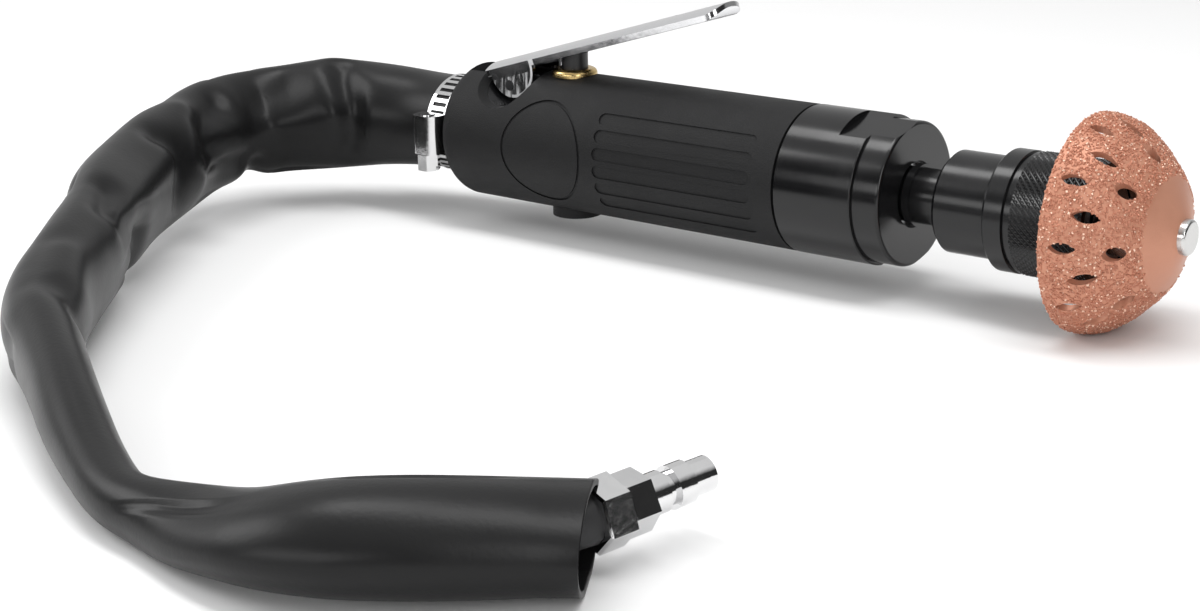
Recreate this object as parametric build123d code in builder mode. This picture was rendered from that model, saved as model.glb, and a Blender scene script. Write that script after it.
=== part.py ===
"""Air tire buffer: a hand-held vane-motor buffer with a contour rasp cup.

The frame has +X along the spindle towards the rasp and +Z up, on the lever's side.
The tool stands on a bench at z = 0, on the rim of its rasp and on its exhaust sleeve,
and the origin is under the middle of the tool. Stations along the tool are measured
from the joint between the grip and the front housing, positive towards the rasp.
"""

import os
from math import acos, cos, pi, radians, sin, sqrt, tan

from build123d import *

os.makedirs("parts", exist_ok=True)

# Clearances
FIT = 0.05            # between pieces that are fixed to each other
RUN = 0.1             # radial running fit
GAP = 0.3             # between pieces that move past each other

# Rasp cup and the height of the tool's axis
RASP_R = 32.0
AXIS_Z = RASP_R

# Motor, counted back from the shoulder that the ring gear seats on
GEAR_SPACER_T = 7.0
FRONT_PLATE_T = 11.0
CYLINDER_LEN = 46.0
REAR_PLATE_T = 11.0
MOTOR_BORE_R = 17.2
CYLINDER_BORE_R = 13.4
CYLINDER_OFFSET = 1.5
ROTOR_R = CYLINDER_BORE_R - CYLINDER_OFFSET - RUN
VANE_T = 2.0
VANE_DEPTH = 5.6
VANE_COUNT = 4

# Rotor bearings: bore radius, outer radius, width, ball radius and number of balls
REAR_BEARING = (3.0, 9.5, 6.0, 1.7, 7)
FRONT_BEARING = (6.0, 12.0, 6.0, 1.6, 9)
SPINDLE_BEARING = (7.5, 16.0, 9.0, 2.3, 9)

# Epicyclic gears
MODULE = 0.75
SUN_TEETH = 12
PLANET_TEETH = 15
RING_TEETH = SUN_TEETH + 2 * PLANET_TEETH
PLANET_COUNT = 3
PRESSURE_ANGLE = radians(25)
BACKLASH = 0.16
RING_WIDTH = 11.0
RING_WALL = 2.05
PLANET_PIN_R = 2.0
CARRIER_T = 3.2

# Housings and grip
HOUSING_WALL = 2.8
GRIP_WALL = 3.35
GRIP_SHOULDER_R = 6.0
GRIP_GAP = 0.6
FRONT_SKIRT_WALL = 3.45
FRONT_STEP = 27.7         # station of the step in the front housing
FRONT_STEP_DROP = 1.0
FRONT_LIP_T = 2.9
FRONT_EDGE_R = 1.1        # rounding of the front edge
FRONT_STEP_EDGE_R = 0.4
FRONT_BORE_R = 10.4
WRENCH_FLAT_DISTANCE = 21.6
WRENCH_FLAT_START = 18.0
WRENCH_FLAT_TILT = 14.0   # degrees from straight up, towards -Y

# Throttle valve, lever and pin
VALVE_SETBACK = 21.0      # valve axis behind the motor chamber
REAR_BLOCK = 37.0         # solid housing behind the valve axis
BUSH_R = 6.0
BUSH_FLANGE_R = 7.65
BUSH_FLANGE_T = 2.6
BUSH_SINK = 0.8           # flange seat below the grip's crown
BUSH_DEPTH = 10.6
PLUNGER_R = 4.5
PLUNGER_DOME_R = 9.0
PLUNGER_STEM_R = 2.0
ORING_T = 0.95
SEAT_R = 4.0
SEAT_T = 3.0
SEAT_UP = 5.0             # valve seat above the tool's axis
POPPET_R = 5.5
POPPET_T = 3.8
CHAMBER_R = 6.5
CAP_R = 7.0
CAP_PROUD = 2.4           # cap face below the grip's lowest line
CAP_HEAD_T = 3.4
CAP_THREAD_LEN = 5.6
BOSS_WALL = 1.4           # of the grip, round the cap
LEVER_ARM = 22.0          # pivot pin behind the valve axis
LEVER_ANGLE = 16.6        # degrees above level, released
LEVER_TRAVEL = 12.0       # degrees from released to pressed
PIN_SINK = 5.4            # pin's axis below the grip's crown
PIN_R = 1.7
LEVER_T = 1.6
LEVER_WIDTH = 17.0
LEVER_UNDERSIDE = 4.8     # from the pin's axis square up to the strip's edges
LEVER_RISE = 2.7          # of the strip's rolled section, from its edges to its crown
LEVER_REAR = 9.5
LEVER_REACH = 92.0        # from the pin's axis to the tip
LEVER_SLOT_BACK = 18.2    # slot's middle behind the tip
LEVER_SLOT_LEN = 8.0
LEVER_SLOT_WIDTH = 3.2
EAR_R = 9.4
EAR_OFFSET = 2.4
EAR_ROOM = 1.3            # round the ears in their pocket

# Grip moulding
THUMB_PANEL_R = 17.0
THUMB_PANEL_AHEAD = 3.0   # panel centre ahead of the valve axis
PANEL_GROOVE_W = 0.9
PANEL_GROOVE_D = 0.5
CHANNEL_LEN = 62.0
CHANNEL_WIDTH = 4.3
CHANNEL_DEPTH = 0.5
CHANNEL_PITCH = 14.7      # degrees round the grip
CHANNEL_COUNT = 6
CHANNEL_SETBACK = 9.0     # front ends behind the grip's front

# Inlet, exhaust and hose clamp
NECK_R = 15.8
NECK_LEN = 6.5
SPIGOT_R = 14.3
SPIGOT_LEN = 12.5
INLET_R = 5.0
INLET_THREAD_R = 6.2
INLET_THREAD_LEN = 14.0
EXHAUST_R = 2.1
EXHAUST_CIRCLE_R = 10.3
EXHAUST_ANGLE = 14.0
FEED_R = 1.7
NIPPLE_HEX = 13.0
NIPPLE_HEX_T = 4.0
BARB_LEN = 14.0
BAND_WIDTH = 9.0
BAND_T = 0.8
BAND_SETBACK = 1.2
CLAMP_BOX = (10.6, 7.4, 13.5)
CLAMP_BOX_WALL = 0.8
CLAMP_SCREW_R = 2.6
CLAMP_HEAD_HEX = 7.0
CLAMP_HEAD_T = 5.6

# Spindle and its collar
SPINDLE_NECK = 13.6       # free length between the front housing and the chuck
COLLAR_T = 1.1
COLLAR_RING_R = 9.8
COLLAR_RING_T = 2.2
SPINDLE_THREAD_R = 5.9
SPINDLE_THREAD_LEN = 15.0

# Chuck
CHUCK_REAR_R = 15.65
CHUCK_REAR_LEN = 17.4
CHUCK_CORE_R = 12.5
CHUCK_CORE_LEN = 33.4
SLEEVE_COLLAR_R = 18.45
SLEEVE_COLLAR_LEN = 7.0
KNURL_R = 18.2
SLEEVE_TRAVEL = 6.0
SLEEVE_SPRING_BAY = 13.0
BALL_R = 4.1
BALL_COUNT = 3
BALL_LIFT = 1.3
HEX_SHANK = 11.0
SNAP_RING_T = 1.1
SNAP_RING_LIP = 1.7
CHUCK_SPRING_WIRE = 1.6
CHUCK_SPRING_TURNS = 4
VALVE_SPRING_WIRE = 1.0
VALVE_SPRING_R = 4.2
VALVE_SPRING_TURNS = 6

# Rasp
RASP_WALL = 2.2
RASP_CROWN_AHEAD = 2.4    # widest point ahead of the rim
RASP_SHOULDER_AHEAD = 12.4
RASP_SHOULDER_DROP = 3.2
RASP_DOME_LEN = 24.8      # rim to the edge of the bare nose
RASP_NOSE_R = 16.5
RASP_NOSE_LEN = 4.6
RASP_EYE_R = 4.0
RASP_OVERHANG = 6.9       # rim behind the chuck's front face
# Rows of holes: distance ahead of the rim, first angle, length and width
RASP_ROWS = ((7.0, 0.0, 7.5, 3.4), (12.0, 18.0, 7.5, 3.4), (19.0, 4.0, 5.2, 4.2))
RASP_ROW_COUNTS = (10, 10, 8)
RIVET_R = 5.25
RIVET_HEAD_T = 3.2
RIVET_STEM_R = 2.5
SHANK_SHOULDER_R = 8.5
BACKING_T = 2.0

# Sleeve, air hose and plug
SLEEVE_WALL = 2.0
HOSE_R = 6.0
HOSE_BORE_R = 3.75
FERRULE_WALL = 1.2
FERRULE_LEN = 12.0
NUT_HEX = 15.0
NUT_T = 8.0
PLUG_HEX = 13.0
PLUG_HEX_T = 6.6
PLUG_COLLAR_R = 5.0
PLUG_NECK_R = 4.0
PLUG_HEAD_R = 5.2
PLUG_TIP_R = 4.3
PLUG_BORE_R = 2.6
PLUG_STEPS = (5.2, 2.6, 4.6, 6.4)   # collar, neck, head and tip lengths

# Stations that follow from those sizes
HOUSING_R = MOTOR_BORE_R + HOUSING_WALL
GRIP_R = HOUSING_R + FIT + GRIP_WALL
FRONT_R = HOUSING_R + FIT + FRONT_SKIRT_WALL
BUSH_SEAT_Z = AXIS_Z + GRIP_R - BUSH_SINK
SEAT_Z = AXIS_Z + SEAT_UP
CAP_FACE_Z = AXIS_Z - GRIP_R - CAP_PROUD
PIN_Z = AXIS_Z + GRIP_R - PIN_SINK
FRONT_PLATE = -GEAR_SPACER_T - FRONT_PLATE_T
CYLINDER = FRONT_PLATE - CYLINDER_LEN
CHAMBER = CYLINDER - REAR_PLATE_T
VALVE = CHAMBER - VALVE_SETBACK
BLOCK_REAR = VALVE - REAR_BLOCK
GRIP_REAR = BLOCK_REAR - NECK_LEN
SPIGOT_REAR = GRIP_REAR - SPIGOT_LEN
BAND = GRIP_REAR - BAND_SETBACK - BAND_WIDTH / 2
NIPPLE_FACE = SPIGOT_REAR - NIPPLE_HEX_T
BARB_END = NIPPLE_FACE - BARB_LEN

RING_FACE = 0.2
GEAR_BAY = RING_FACE + RING_WIDTH + 0.8
CARRIER = RING_FACE + RING_WIDTH + 0.2
BEARING_A = CARRIER + CARRIER_T + 1.4
BEARING_B = BEARING_A + SPINDLE_BEARING[2]
FRONT_LIP = BEARING_B + SPINDLE_BEARING[2] + FIT
FRONT_FACE = FRONT_LIP + FRONT_LIP_T
CHUCK = FRONT_FACE + SPINDLE_NECK
CHUCK_SHOULDER = CHUCK + CHUCK_REAR_LEN
CHUCK_FRONT = CHUCK_SHOULDER + CHUCK_CORE_LEN
SLEEVE_REAR = CHUCK_SHOULDER + 1.0
SLEEVE_LAND = SLEEVE_REAR + SLEEVE_SPRING_BAY
BALL = SLEEVE_LAND + SLEEVE_TRAVEL
SNAP_RING = CHUCK_FRONT - SNAP_RING_T - 0.6
RIM = CHUCK_FRONT - RASP_OVERHANG
NOSE_EDGE = RIM + RASP_DOME_LEN
NOSE = NOSE_EDGE + RASP_NOSE_LEN
NOSE_END = NOSE + RIVET_HEAD_T - 0.9
X_OFF = -(NOSE_END + BARB_END) / 2

TOOL_AXIS = Axis((X_OFF, 0, AXIS_Z), (1, 0, 0))
PROFILE = Plane(origin=(X_OFF, 0, AXIS_Z), x_dir=(1, 0, 0), z_dir=(0, -1, 0))


def station(s):
    """Plane square to the tool at a station, with its x along +Y and its y up."""
    return Plane(origin=(X_OFF + s, 0, AXIS_Z), x_dir=(0, 1, 0), z_dir=(1, 0, 0))


def level(s, z, y=0.0):
    """Level plane at height z, centred at a station, with its x along the tool."""
    return Plane(origin=(X_OFF + s, y, z), x_dir=(1, 0, 0), z_dir=(0, 0, 1))


def turned(points, mode=Mode.ADD):
    """Turn a closed outline of (station, radius) corners about the tool's axis."""
    with BuildSketch(PROFILE) as outline:
        with BuildLine():
            Polyline(*points, close=True)
        make_face()
    revolve(outline.sketch, axis=TOOL_AXIS, mode=mode)


def ring(s, length, outer, inner, mode=Mode.ADD):
    """Plain ring about the tool's axis."""
    turned([(s, inner), (s + length, inner), (s + length, outer), (s, outer)], mode)


def rod(s, length, radius, mode=Mode.ADD):
    """Plain cylinder on the tool's axis."""
    with BuildSketch(station(s)) as section:
        Circle(radius)
    extrude(section.sketch, amount=length, mode=mode)


def post(s, z, height, radius, mode=Mode.ADD):
    """Upright cylinder from height z on the valve's or another station."""
    with BuildSketch(level(s, z)) as section:
        Circle(radius)
    extrude(section.sketch, amount=height, mode=mode)


def finish(block, name):
    """Label a finished piece and write it."""
    block.part.label = name
    export_step(block.part, f"parts/{name}.step")


def involute(angle):
    return tan(angle) - angle


def tooth_face(teeth, root_r, tip_r, thicken):
    """Face of a gear with a tooth on its +X axis; thicken widens each tooth."""
    pitch_r = MODULE * teeth / 2
    base_r = pitch_r * cos(PRESSURE_ANGLE)
    start_r = max(root_r, base_r)
    pitch_half = (pi * MODULE / 2 + thicken) / (2 * pitch_r) + involute(PRESSURE_ANGLE)
    flank = []
    for r in (start_r, (start_r + tip_r) / 2, tip_r):
        flank.append((r, pitch_half - involute(acos(base_r / r))))

    def at_angle(r, angle):
        return (r * cos(angle), r * sin(angle))

    with BuildSketch() as face:
        with BuildLine():
            for tooth in range(teeth):
                mid = 2 * pi * tooth / teeth
                after = 2 * pi * (tooth + 1) / teeth
                ThreePointArc(*[at_angle(r, mid - half) for r, half in flank])
                Line(at_angle(tip_r, mid - flank[2][1]), at_angle(tip_r, mid + flank[2][1]))
                ThreePointArc(*[at_angle(r, mid + half) for r, half in reversed(flank)])
                if start_r > root_r:
                    Line(at_angle(start_r, mid + flank[0][1]), at_angle(root_r, mid + flank[0][1]))
                    Line(at_angle(root_r, after - flank[0][1]), at_angle(start_r, after - flank[0][1]))
                Line(at_angle(root_r, mid + flank[0][1]), at_angle(root_r, after - flank[0][1]))
        make_face()
    return face.sketch


SUN_PITCH_R = MODULE * SUN_TEETH / 2
PLANET_PITCH_R = MODULE * PLANET_TEETH / 2
RING_PITCH_R = MODULE * RING_TEETH / 2
PLANET_ORBIT_R = SUN_PITCH_R + PLANET_PITCH_R
ADDENDUM = 0.8 * MODULE
DEDENDUM = 1.05 * MODULE
RING_OUTER_R = RING_PITCH_R + DEDENDUM + RING_WALL
PLANET_ANGLES = [90 + 360 * i / PLANET_COUNT for i in range(PLANET_COUNT)]

LEVER_PLANE = Plane(
    origin=(X_OFF + VALVE - LEVER_ARM, 0, PIN_Z),
    x_dir=(cos(radians(LEVER_ANGLE)), 0, sin(radians(LEVER_ANGLE))),
    z_dir=(0, -1, 0),
)
PIN_SPOT = (VALVE - LEVER_ARM, PIN_Z - AXIS_Z)
EAR_POCKET_R = EAR_R + EAR_ROOM
EAR_SPOTS = [
    (
        PIN_SPOT[0] + EAR_OFFSET * cos(radians(tilt)) - LEVER_UNDERSIDE * sin(radians(tilt)),
        PIN_SPOT[1] + EAR_OFFSET * sin(radians(tilt)) + LEVER_UNDERSIDE * cos(radians(tilt)),
    )
    for tilt in (LEVER_ANGLE, LEVER_ANGLE - LEVER_TRAVEL)
]
LUG_HALF = LEVER_WIDTH / 2 - LEVER_T - GAP
LEVER_CLEARANCE = 1.5 * GAP

# Lug of the casting between the lever's ears, flush with the grip and clear of the plate
with BuildPart() as pivot_lug:
    with BuildSketch(PROFILE):
        with Locations(EAR_SPOTS):
            Circle(EAR_POCKET_R - FIT)
    extrude(amount=LUG_HALF, both=True)
    rod(VALVE - 2 * LEVER_ARM, 2 * LEVER_ARM, GRIP_R, Mode.INTERSECT)
    with BuildSketch(LEVER_PLANE):
        with Locations((0, LEVER_UNDERSIDE - LEVER_CLEARANCE)):
            Rectangle(4 * EAR_POCKET_R, GRIP_R, align=(Align.CENTER, Align.MIN))
    extrude(amount=LEVER_WIDTH, both=True, mode=Mode.SUBTRACT)

# Motor housing: one bored casting with the valve block and the exhaust spigot
with BuildPart() as motor_housing:
    turned([
        (SPIGOT_REAR, 0), (SPIGOT_REAR, SPIGOT_R), (GRIP_REAR, SPIGOT_R), (GRIP_REAR, NECK_R),
        (BLOCK_REAR, NECK_R), (BLOCK_REAR, HOUSING_R), (GEAR_BAY, HOUSING_R), (GEAR_BAY, 0),
    ])
    rod(CHAMBER, GEAR_BAY - CHAMBER, MOTOR_BORE_R, Mode.SUBTRACT)
    rod(0, GEAR_BAY, RING_OUTER_R + FIT, Mode.SUBTRACT)
    rod(SPIGOT_REAR, VALVE - SPIGOT_REAR, INLET_R, Mode.SUBTRACT)
    rod(SPIGOT_REAR, INLET_THREAD_LEN + FIT, INLET_THREAD_R, Mode.SUBTRACT)
    post(VALVE, 0, SEAT_Z, CHAMBER_R, Mode.SUBTRACT)
    post(VALVE, SEAT_Z, SEAT_T, SEAT_R, Mode.SUBTRACT)
    post(VALVE, SEAT_Z + SEAT_T, 2 * HOUSING_R, BUSH_R + FIT, Mode.SUBTRACT)
    with BuildSketch(station(SPIGOT_REAR)):
        for side in (0, 180):
            for turn in (-EXHAUST_ANGLE, EXHAUST_ANGLE):
                with PolarLocations(EXHAUST_CIRCLE_R, 1, start_angle=side + turn):
                    Circle(EXHAUST_R)
    extrude(amount=CHAMBER - SPIGOT_REAR, mode=Mode.SUBTRACT)
    with BuildSketch(station(VALVE)):
        with Locations((0, SEAT_Z + SEAT_T + FEED_R + RUN - AXIS_Z)):
            Circle(FEED_R)
    extrude(amount=CHAMBER - VALVE, mode=Mode.SUBTRACT)
    add(pivot_lug.part)
    for side in (-1, 1):
        with BuildSketch(PROFILE.offset(side * LUG_HALF)):
            with Locations(EAR_SPOTS):
                Circle(EAR_POCKET_R)
        extrude(amount=side * HOUSING_R, mode=Mode.SUBTRACT)
    with BuildSketch(PROFILE):
        with Locations(PIN_SPOT):
            Circle(PIN_R + FIT)
    extrude(amount=2 * LUG_HALF, both=True, mode=Mode.SUBTRACT)
finish(motor_housing, "motor_housing")

# Grip: moulded cover with a thumb panel and finger channels on both sides
GRIP_FRONT = -GRIP_GAP
SHOULDER_EDGE_R = GRIP_R - GRIP_SHOULDER_R
SHOULDER_MID = GRIP_SHOULDER_R * (1 - sqrt(0.5))

with BuildPart() as panel_groove:
    with BuildSketch(PROFILE.offset(0)):
        with Locations((VALVE + THUMB_PANEL_AHEAD, 0)):
            Circle(THUMB_PANEL_R)
            Circle(THUMB_PANEL_R - PANEL_GROOVE_W, mode=Mode.SUBTRACT)
    extrude(amount=2 * GRIP_R, both=True)
    rod(GRIP_REAR, GRIP_FRONT - GRIP_REAR, GRIP_R - PANEL_GROOVE_D, Mode.SUBTRACT)

with BuildPart() as grip:
    with BuildSketch(PROFILE):
        with BuildLine():
            ThreePointArc(
                (GRIP_REAR, SHOULDER_EDGE_R),
                (GRIP_REAR + SHOULDER_MID, GRIP_R - SHOULDER_MID),
                (GRIP_REAR + GRIP_SHOULDER_R, GRIP_R),
            )
            Polyline(
                (GRIP_REAR + GRIP_SHOULDER_R, GRIP_R), (GRIP_FRONT, GRIP_R), (GRIP_FRONT, 0),
                (GRIP_REAR, 0), (GRIP_REAR, SHOULDER_EDGE_R),
            )
        make_face()
    revolve(axis=TOOL_AXIS)
    boss_z = CAP_FACE_Z + GAP
    post(VALVE, boss_z, AXIS_Z - boss_z, CAP_R + BOSS_WALL)
    with BuildSketch(PROFILE):
        with Locations(EAR_SPOTS):
            Circle(EAR_POCKET_R)
    extrude(amount=2 * GRIP_R, both=True, mode=Mode.SUBTRACT)
    with BuildSketch(LEVER_PLANE):
        with Locations((EAR_OFFSET - EAR_R, LEVER_UNDERSIDE - LEVER_CLEARANCE)):
            Rectangle(2 * EAR_R, GRIP_R, align=(Align.CENTER, Align.MIN))
    extrude(amount=LEVER_WIDTH / 2 + GAP, both=True, mode=Mode.SUBTRACT)
    add(panel_groove.part, mode=Mode.SUBTRACT)
    for side in (180, 0):
        for i in range(CHANNEL_COUNT):
            turn = radians(side + (i - (CHANNEL_COUNT - 1) / 2) * CHANNEL_PITCH)
            outward = Vector(0, cos(turn), sin(turn))
            centre = Vector(X_OFF - CHANNEL_SETBACK - CHANNEL_LEN / 2, 0, AXIS_Z)
            with BuildSketch(Plane(centre + outward * GRIP_R, x_dir=(1, 0, 0), z_dir=outward)):
                SlotOverall(CHANNEL_LEN, CHANNEL_WIDTH)
            extrude(amount=-CHANNEL_DEPTH, mode=Mode.SUBTRACT)
    turned([
        (BLOCK_REAR - FIT, 0), (BLOCK_REAR - FIT, HOUSING_R + FIT),
        (GRIP_FRONT, HOUSING_R + FIT), (GRIP_FRONT, 0),
    ], Mode.SUBTRACT)
    turned([
        (GRIP_REAR, 0), (GRIP_REAR, NECK_R + FIT),
        (BLOCK_REAR - FIT, NECK_R + FIT), (BLOCK_REAR - FIT, 0),
    ], Mode.SUBTRACT)
    post(VALVE, 0, AXIS_Z, CAP_R + FIT, Mode.SUBTRACT)
    post(VALVE, AXIS_Z, 2 * GRIP_R, BUSH_R + FIT, Mode.SUBTRACT)
    post(VALVE, BUSH_SEAT_Z, GRIP_R, BUSH_FLANGE_R + GAP, Mode.SUBTRACT)
finish(grip, "grip")

# Front housing: gear case with two wrench flats
with BuildPart() as front_housing:
    SECOND_R = FRONT_R - FRONT_STEP_DROP
    turned([
        (0, HOUSING_R + FIT), (0, FRONT_R - 0.4), (0.4, FRONT_R), (FRONT_STEP, FRONT_R),
        (FRONT_STEP, SECOND_R), (FRONT_FACE, SECOND_R), (FRONT_FACE, FRONT_BORE_R),
        (FRONT_LIP, FRONT_BORE_R), (FRONT_LIP, SPINDLE_BEARING[1] + FIT),
        (GEAR_BAY + 0.2, SPINDLE_BEARING[1] + FIT), (GEAR_BAY + 0.2, HOUSING_R + FIT),
    ])
    rims = front_housing.edges().filter_by(GeomType.CIRCLE)
    front_rim = rims.filter_by(lambda e: abs(e.radius - SECOND_R) < 0.01).sort_by(Axis.X)[-1]
    step_rim = rims.filter_by(lambda e: abs(e.radius - FRONT_R) < 0.01).sort_by(Axis.X)[-1]
    fillet(front_rim, FRONT_EDGE_R)
    fillet(step_rim, FRONT_STEP_EDGE_R)
    with BuildSketch(station(WRENCH_FLAT_START)):
        for side in (90 + WRENCH_FLAT_TILT, 270 + WRENCH_FLAT_TILT):
            with PolarLocations(WRENCH_FLAT_DISTANCE + FRONT_R / 2, 1, start_angle=side):
                Rectangle(FRONT_R, 2 * FRONT_R)
    extrude(amount=FRONT_FACE - WRENCH_FLAT_START, mode=Mode.SUBTRACT)
finish(front_housing, "front_housing")

# Throttle lever: chromed strip of rolled section with two ears and a rounded tip
LEVER_LEN = LEVER_REAR + LEVER_REACH
LEVER_ARCH_R = (LEVER_WIDTH ** 2 / 4 + LEVER_RISE ** 2) / (2 * LEVER_RISE)
LEVER_SECTION = Plane(
    origin=LEVER_PLANE.from_local_coords((-LEVER_REAR, 0, 0)), x_dir=(0, 1, 0), z_dir=LEVER_PLANE.x_dir)
LEVER_PLAN = Plane(origin=LEVER_PLANE.origin, x_dir=LEVER_PLANE.x_dir, z_dir=LEVER_PLANE.y_dir)
with BuildPart() as lever:
    with BuildSketch(LEVER_SECTION):
        with Locations((0, LEVER_UNDERSIDE + LEVER_RISE - LEVER_ARCH_R)):
            Circle(LEVER_ARCH_R + LEVER_T)
            Circle(LEVER_ARCH_R, mode=Mode.SUBTRACT)
        with Locations((0, LEVER_UNDERSIDE - LEVER_T)):
            Rectangle(LEVER_WIDTH, LEVER_ARCH_R, align=(Align.CENTER, Align.MIN), mode=Mode.INTERSECT)
    extrude(amount=LEVER_LEN)
    with BuildSketch(LEVER_PLAN) as lever_outline:
        with Locations((LEVER_REACH, 0)):
            Rectangle(2 * LEVER_LEN, LEVER_WIDTH, align=(Align.MAX, Align.CENTER))
        fillet(lever_outline.vertices().group_by(Axis.X)[-1], LEVER_WIDTH / 3)
    extrude(amount=2 * LEVER_ARCH_R, both=True, mode=Mode.INTERSECT)
    for side in (-1, 1):
        with BuildSketch(LEVER_PLANE.offset(side * LEVER_WIDTH / 2)):
            with Locations((EAR_OFFSET, LEVER_UNDERSIDE)):
                Circle(EAR_R)
            with Locations((EAR_OFFSET, LEVER_UNDERSIDE + LEVER_T)):
                Rectangle(3 * EAR_R, 2 * EAR_R, align=(Align.CENTER, Align.MIN), mode=Mode.SUBTRACT)
            Circle(PIN_R + RUN, mode=Mode.SUBTRACT)
        extrude(amount=-side * LEVER_T)
    with BuildSketch(LEVER_PLAN):
        with Locations((LEVER_REACH - LEVER_SLOT_BACK, 0)):
            SlotOverall(LEVER_SLOT_LEN, LEVER_SLOT_WIDTH)
    extrude(amount=2 * LEVER_ARCH_R, both=True, mode=Mode.SUBTRACT)
finish(lever, "throttle_lever")

with BuildPart() as lever_pin:
    with BuildSketch(PROFILE):
        with Locations(PIN_SPOT):
            Circle(PIN_R)
    extrude(amount=LEVER_WIDTH / 2 + GAP, both=True)
finish(lever_pin, "lever_pin")

# Throttle valve, from the lever down
tilt = radians(LEVER_ANGLE)
DOME_CENTRE_Z = PIN_Z + (
    LEVER_UNDERSIDE + LEVER_RISE + LEVER_ARM * sin(tilt) - PLUNGER_DOME_R - 2 * RUN) / cos(tilt)
PLUNGER_TOP = DOME_CENTRE_Z + PLUNGER_DOME_R
ORING_Z = BUSH_SEAT_Z - BUSH_DEPTH / 2
GROOVE_R = PLUNGER_R + FIT - ORING_T
PLUNGER_FOOT = SEAT_Z + SEAT_T + 6.0

with BuildPart() as bush:
    post(VALVE, BUSH_SEAT_Z - BUSH_DEPTH, BUSH_DEPTH, BUSH_R)
    post(VALVE, BUSH_SEAT_Z, BUSH_FLANGE_T, BUSH_FLANGE_R)
    fillet(bush.edges().group_by(Axis.Z)[-1], BUSH_FLANGE_T * 0.7)
    post(VALVE, BUSH_SEAT_Z - BUSH_DEPTH, BUSH_DEPTH + BUSH_FLANGE_T, PLUNGER_R + RUN, Mode.SUBTRACT)
finish(bush, "valve_bush")

with BuildPart() as plunger:
    post(VALVE, PLUNGER_FOOT, PLUNGER_TOP - PLUNGER_FOOT, PLUNGER_R)
    with Locations((X_OFF + VALVE, 0, DOME_CENTRE_Z)):
        Sphere(PLUNGER_DOME_R, mode=Mode.INTERSECT)
    post(VALVE, PLUNGER_FOOT, ORING_Z - PLUNGER_FOOT, PLUNGER_R)
    with BuildSketch(level(VALVE, ORING_Z - ORING_T / 2 - FIT)):
        Circle(PLUNGER_R + RUN)
        Circle(GROOVE_R, mode=Mode.SUBTRACT)
    extrude(amount=ORING_T + 2 * FIT, mode=Mode.SUBTRACT)
    post(VALVE, SEAT_Z - RUN, PLUNGER_FOOT - SEAT_Z + RUN, PLUNGER_STEM_R)
finish(plunger, "valve_plunger")

with BuildPart() as plunger_oring:
    with Locations(level(VALVE, ORING_Z)):
        Torus(GROOVE_R + ORING_T / 2, ORING_T / 2)
finish(plunger_oring, "plunger_oring")

POPPET_FOOT = SEAT_Z - RUN - POPPET_T
with BuildPart() as poppet:
    post(VALVE, POPPET_FOOT, POPPET_T, POPPET_R)
    chamfer(poppet.edges().group_by(Axis.Z)[-1], 0.6)
    post(VALVE, POPPET_FOOT - 3.0, 3.0, VALVE_SPRING_R - VALVE_SPRING_WIRE)
finish(poppet, "valve_poppet")

CAP_TOP = CAP_FACE_Z + CAP_HEAD_T + CAP_THREAD_LEN
with BuildPart() as valve_cap:
    post(VALVE, CAP_FACE_Z, CAP_HEAD_T, CAP_R)
    post(VALVE, CAP_FACE_Z + CAP_HEAD_T, CAP_THREAD_LEN, CHAMBER_R - FIT)
    chamfer(valve_cap.edges().group_by(Axis.Z)[0], 0.5)
    with BuildSketch(level(VALVE, CAP_FACE_Z)):
        Rectangle(2 * CAP_R, 1.4)
    extrude(amount=1.2, mode=Mode.SUBTRACT)
finish(valve_cap, "valve_cap")

VALVE_SPRING_BAY = POPPET_FOOT - CAP_TOP - VALVE_SPRING_WIRE - 2 * FIT
VALVE_SPRING_START = (X_OFF + VALVE, 0, CAP_TOP + VALVE_SPRING_WIRE / 2 + FIT)
with BuildPart() as valve_spring:
    with BuildLine() as valve_coil:
        Helix(
            pitch=VALVE_SPRING_BAY / VALVE_SPRING_TURNS, height=VALVE_SPRING_BAY,
            radius=VALVE_SPRING_R, center=VALVE_SPRING_START,
        )
    with BuildSketch(Plane(origin=valve_coil.line @ 0, z_dir=valve_coil.line % 0)):
        Circle(VALVE_SPRING_WIRE / 2)
    sweep(path=valve_coil.line, is_frenet=True)
finish(valve_spring, "valve_spring")


# Ball bearings
def bearing(name, s, sizes):
    """Outer race, inner race and ball set of one bearing, written as three nodes."""
    bore_r, outer_r, width, ball_r, balls = sizes
    pitch_r = (bore_r + outer_r) / 2
    land = 0.45 * ball_r
    groove_r = ball_r + FIT
    middle = s + width / 2
    races = (("outer", pitch_r + land, outer_r), ("inner", bore_r, pitch_r - land))
    for side, low, high in races:
        with BuildPart() as race:
            ring(s, width, high, low)
            with BuildSketch(PROFILE):
                with Locations((middle, pitch_r)):
                    Circle(groove_r)
            revolve(axis=TOOL_AXIS, mode=Mode.SUBTRACT)
        finish(race, f"{name}_{side}_race")
    with BuildPart() as ball_set:
        with Locations(station(middle)):
            with PolarLocations(pitch_r, balls):
                Sphere(ball_r)
    finish(ball_set, f"{name}_balls")


REAR_BEARING_S = CHAMBER + 0.4
FRONT_BEARING_S = -GEAR_SPACER_T - FRONT_BEARING[2] - FIT
bearing("rear_bearing", REAR_BEARING_S, REAR_BEARING)
bearing("front_bearing", FRONT_BEARING_S, FRONT_BEARING)
bearing("spindle_bearing_a", BEARING_A, SPINDLE_BEARING)
bearing("spindle_bearing_b", BEARING_B, SPINDLE_BEARING)

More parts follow.
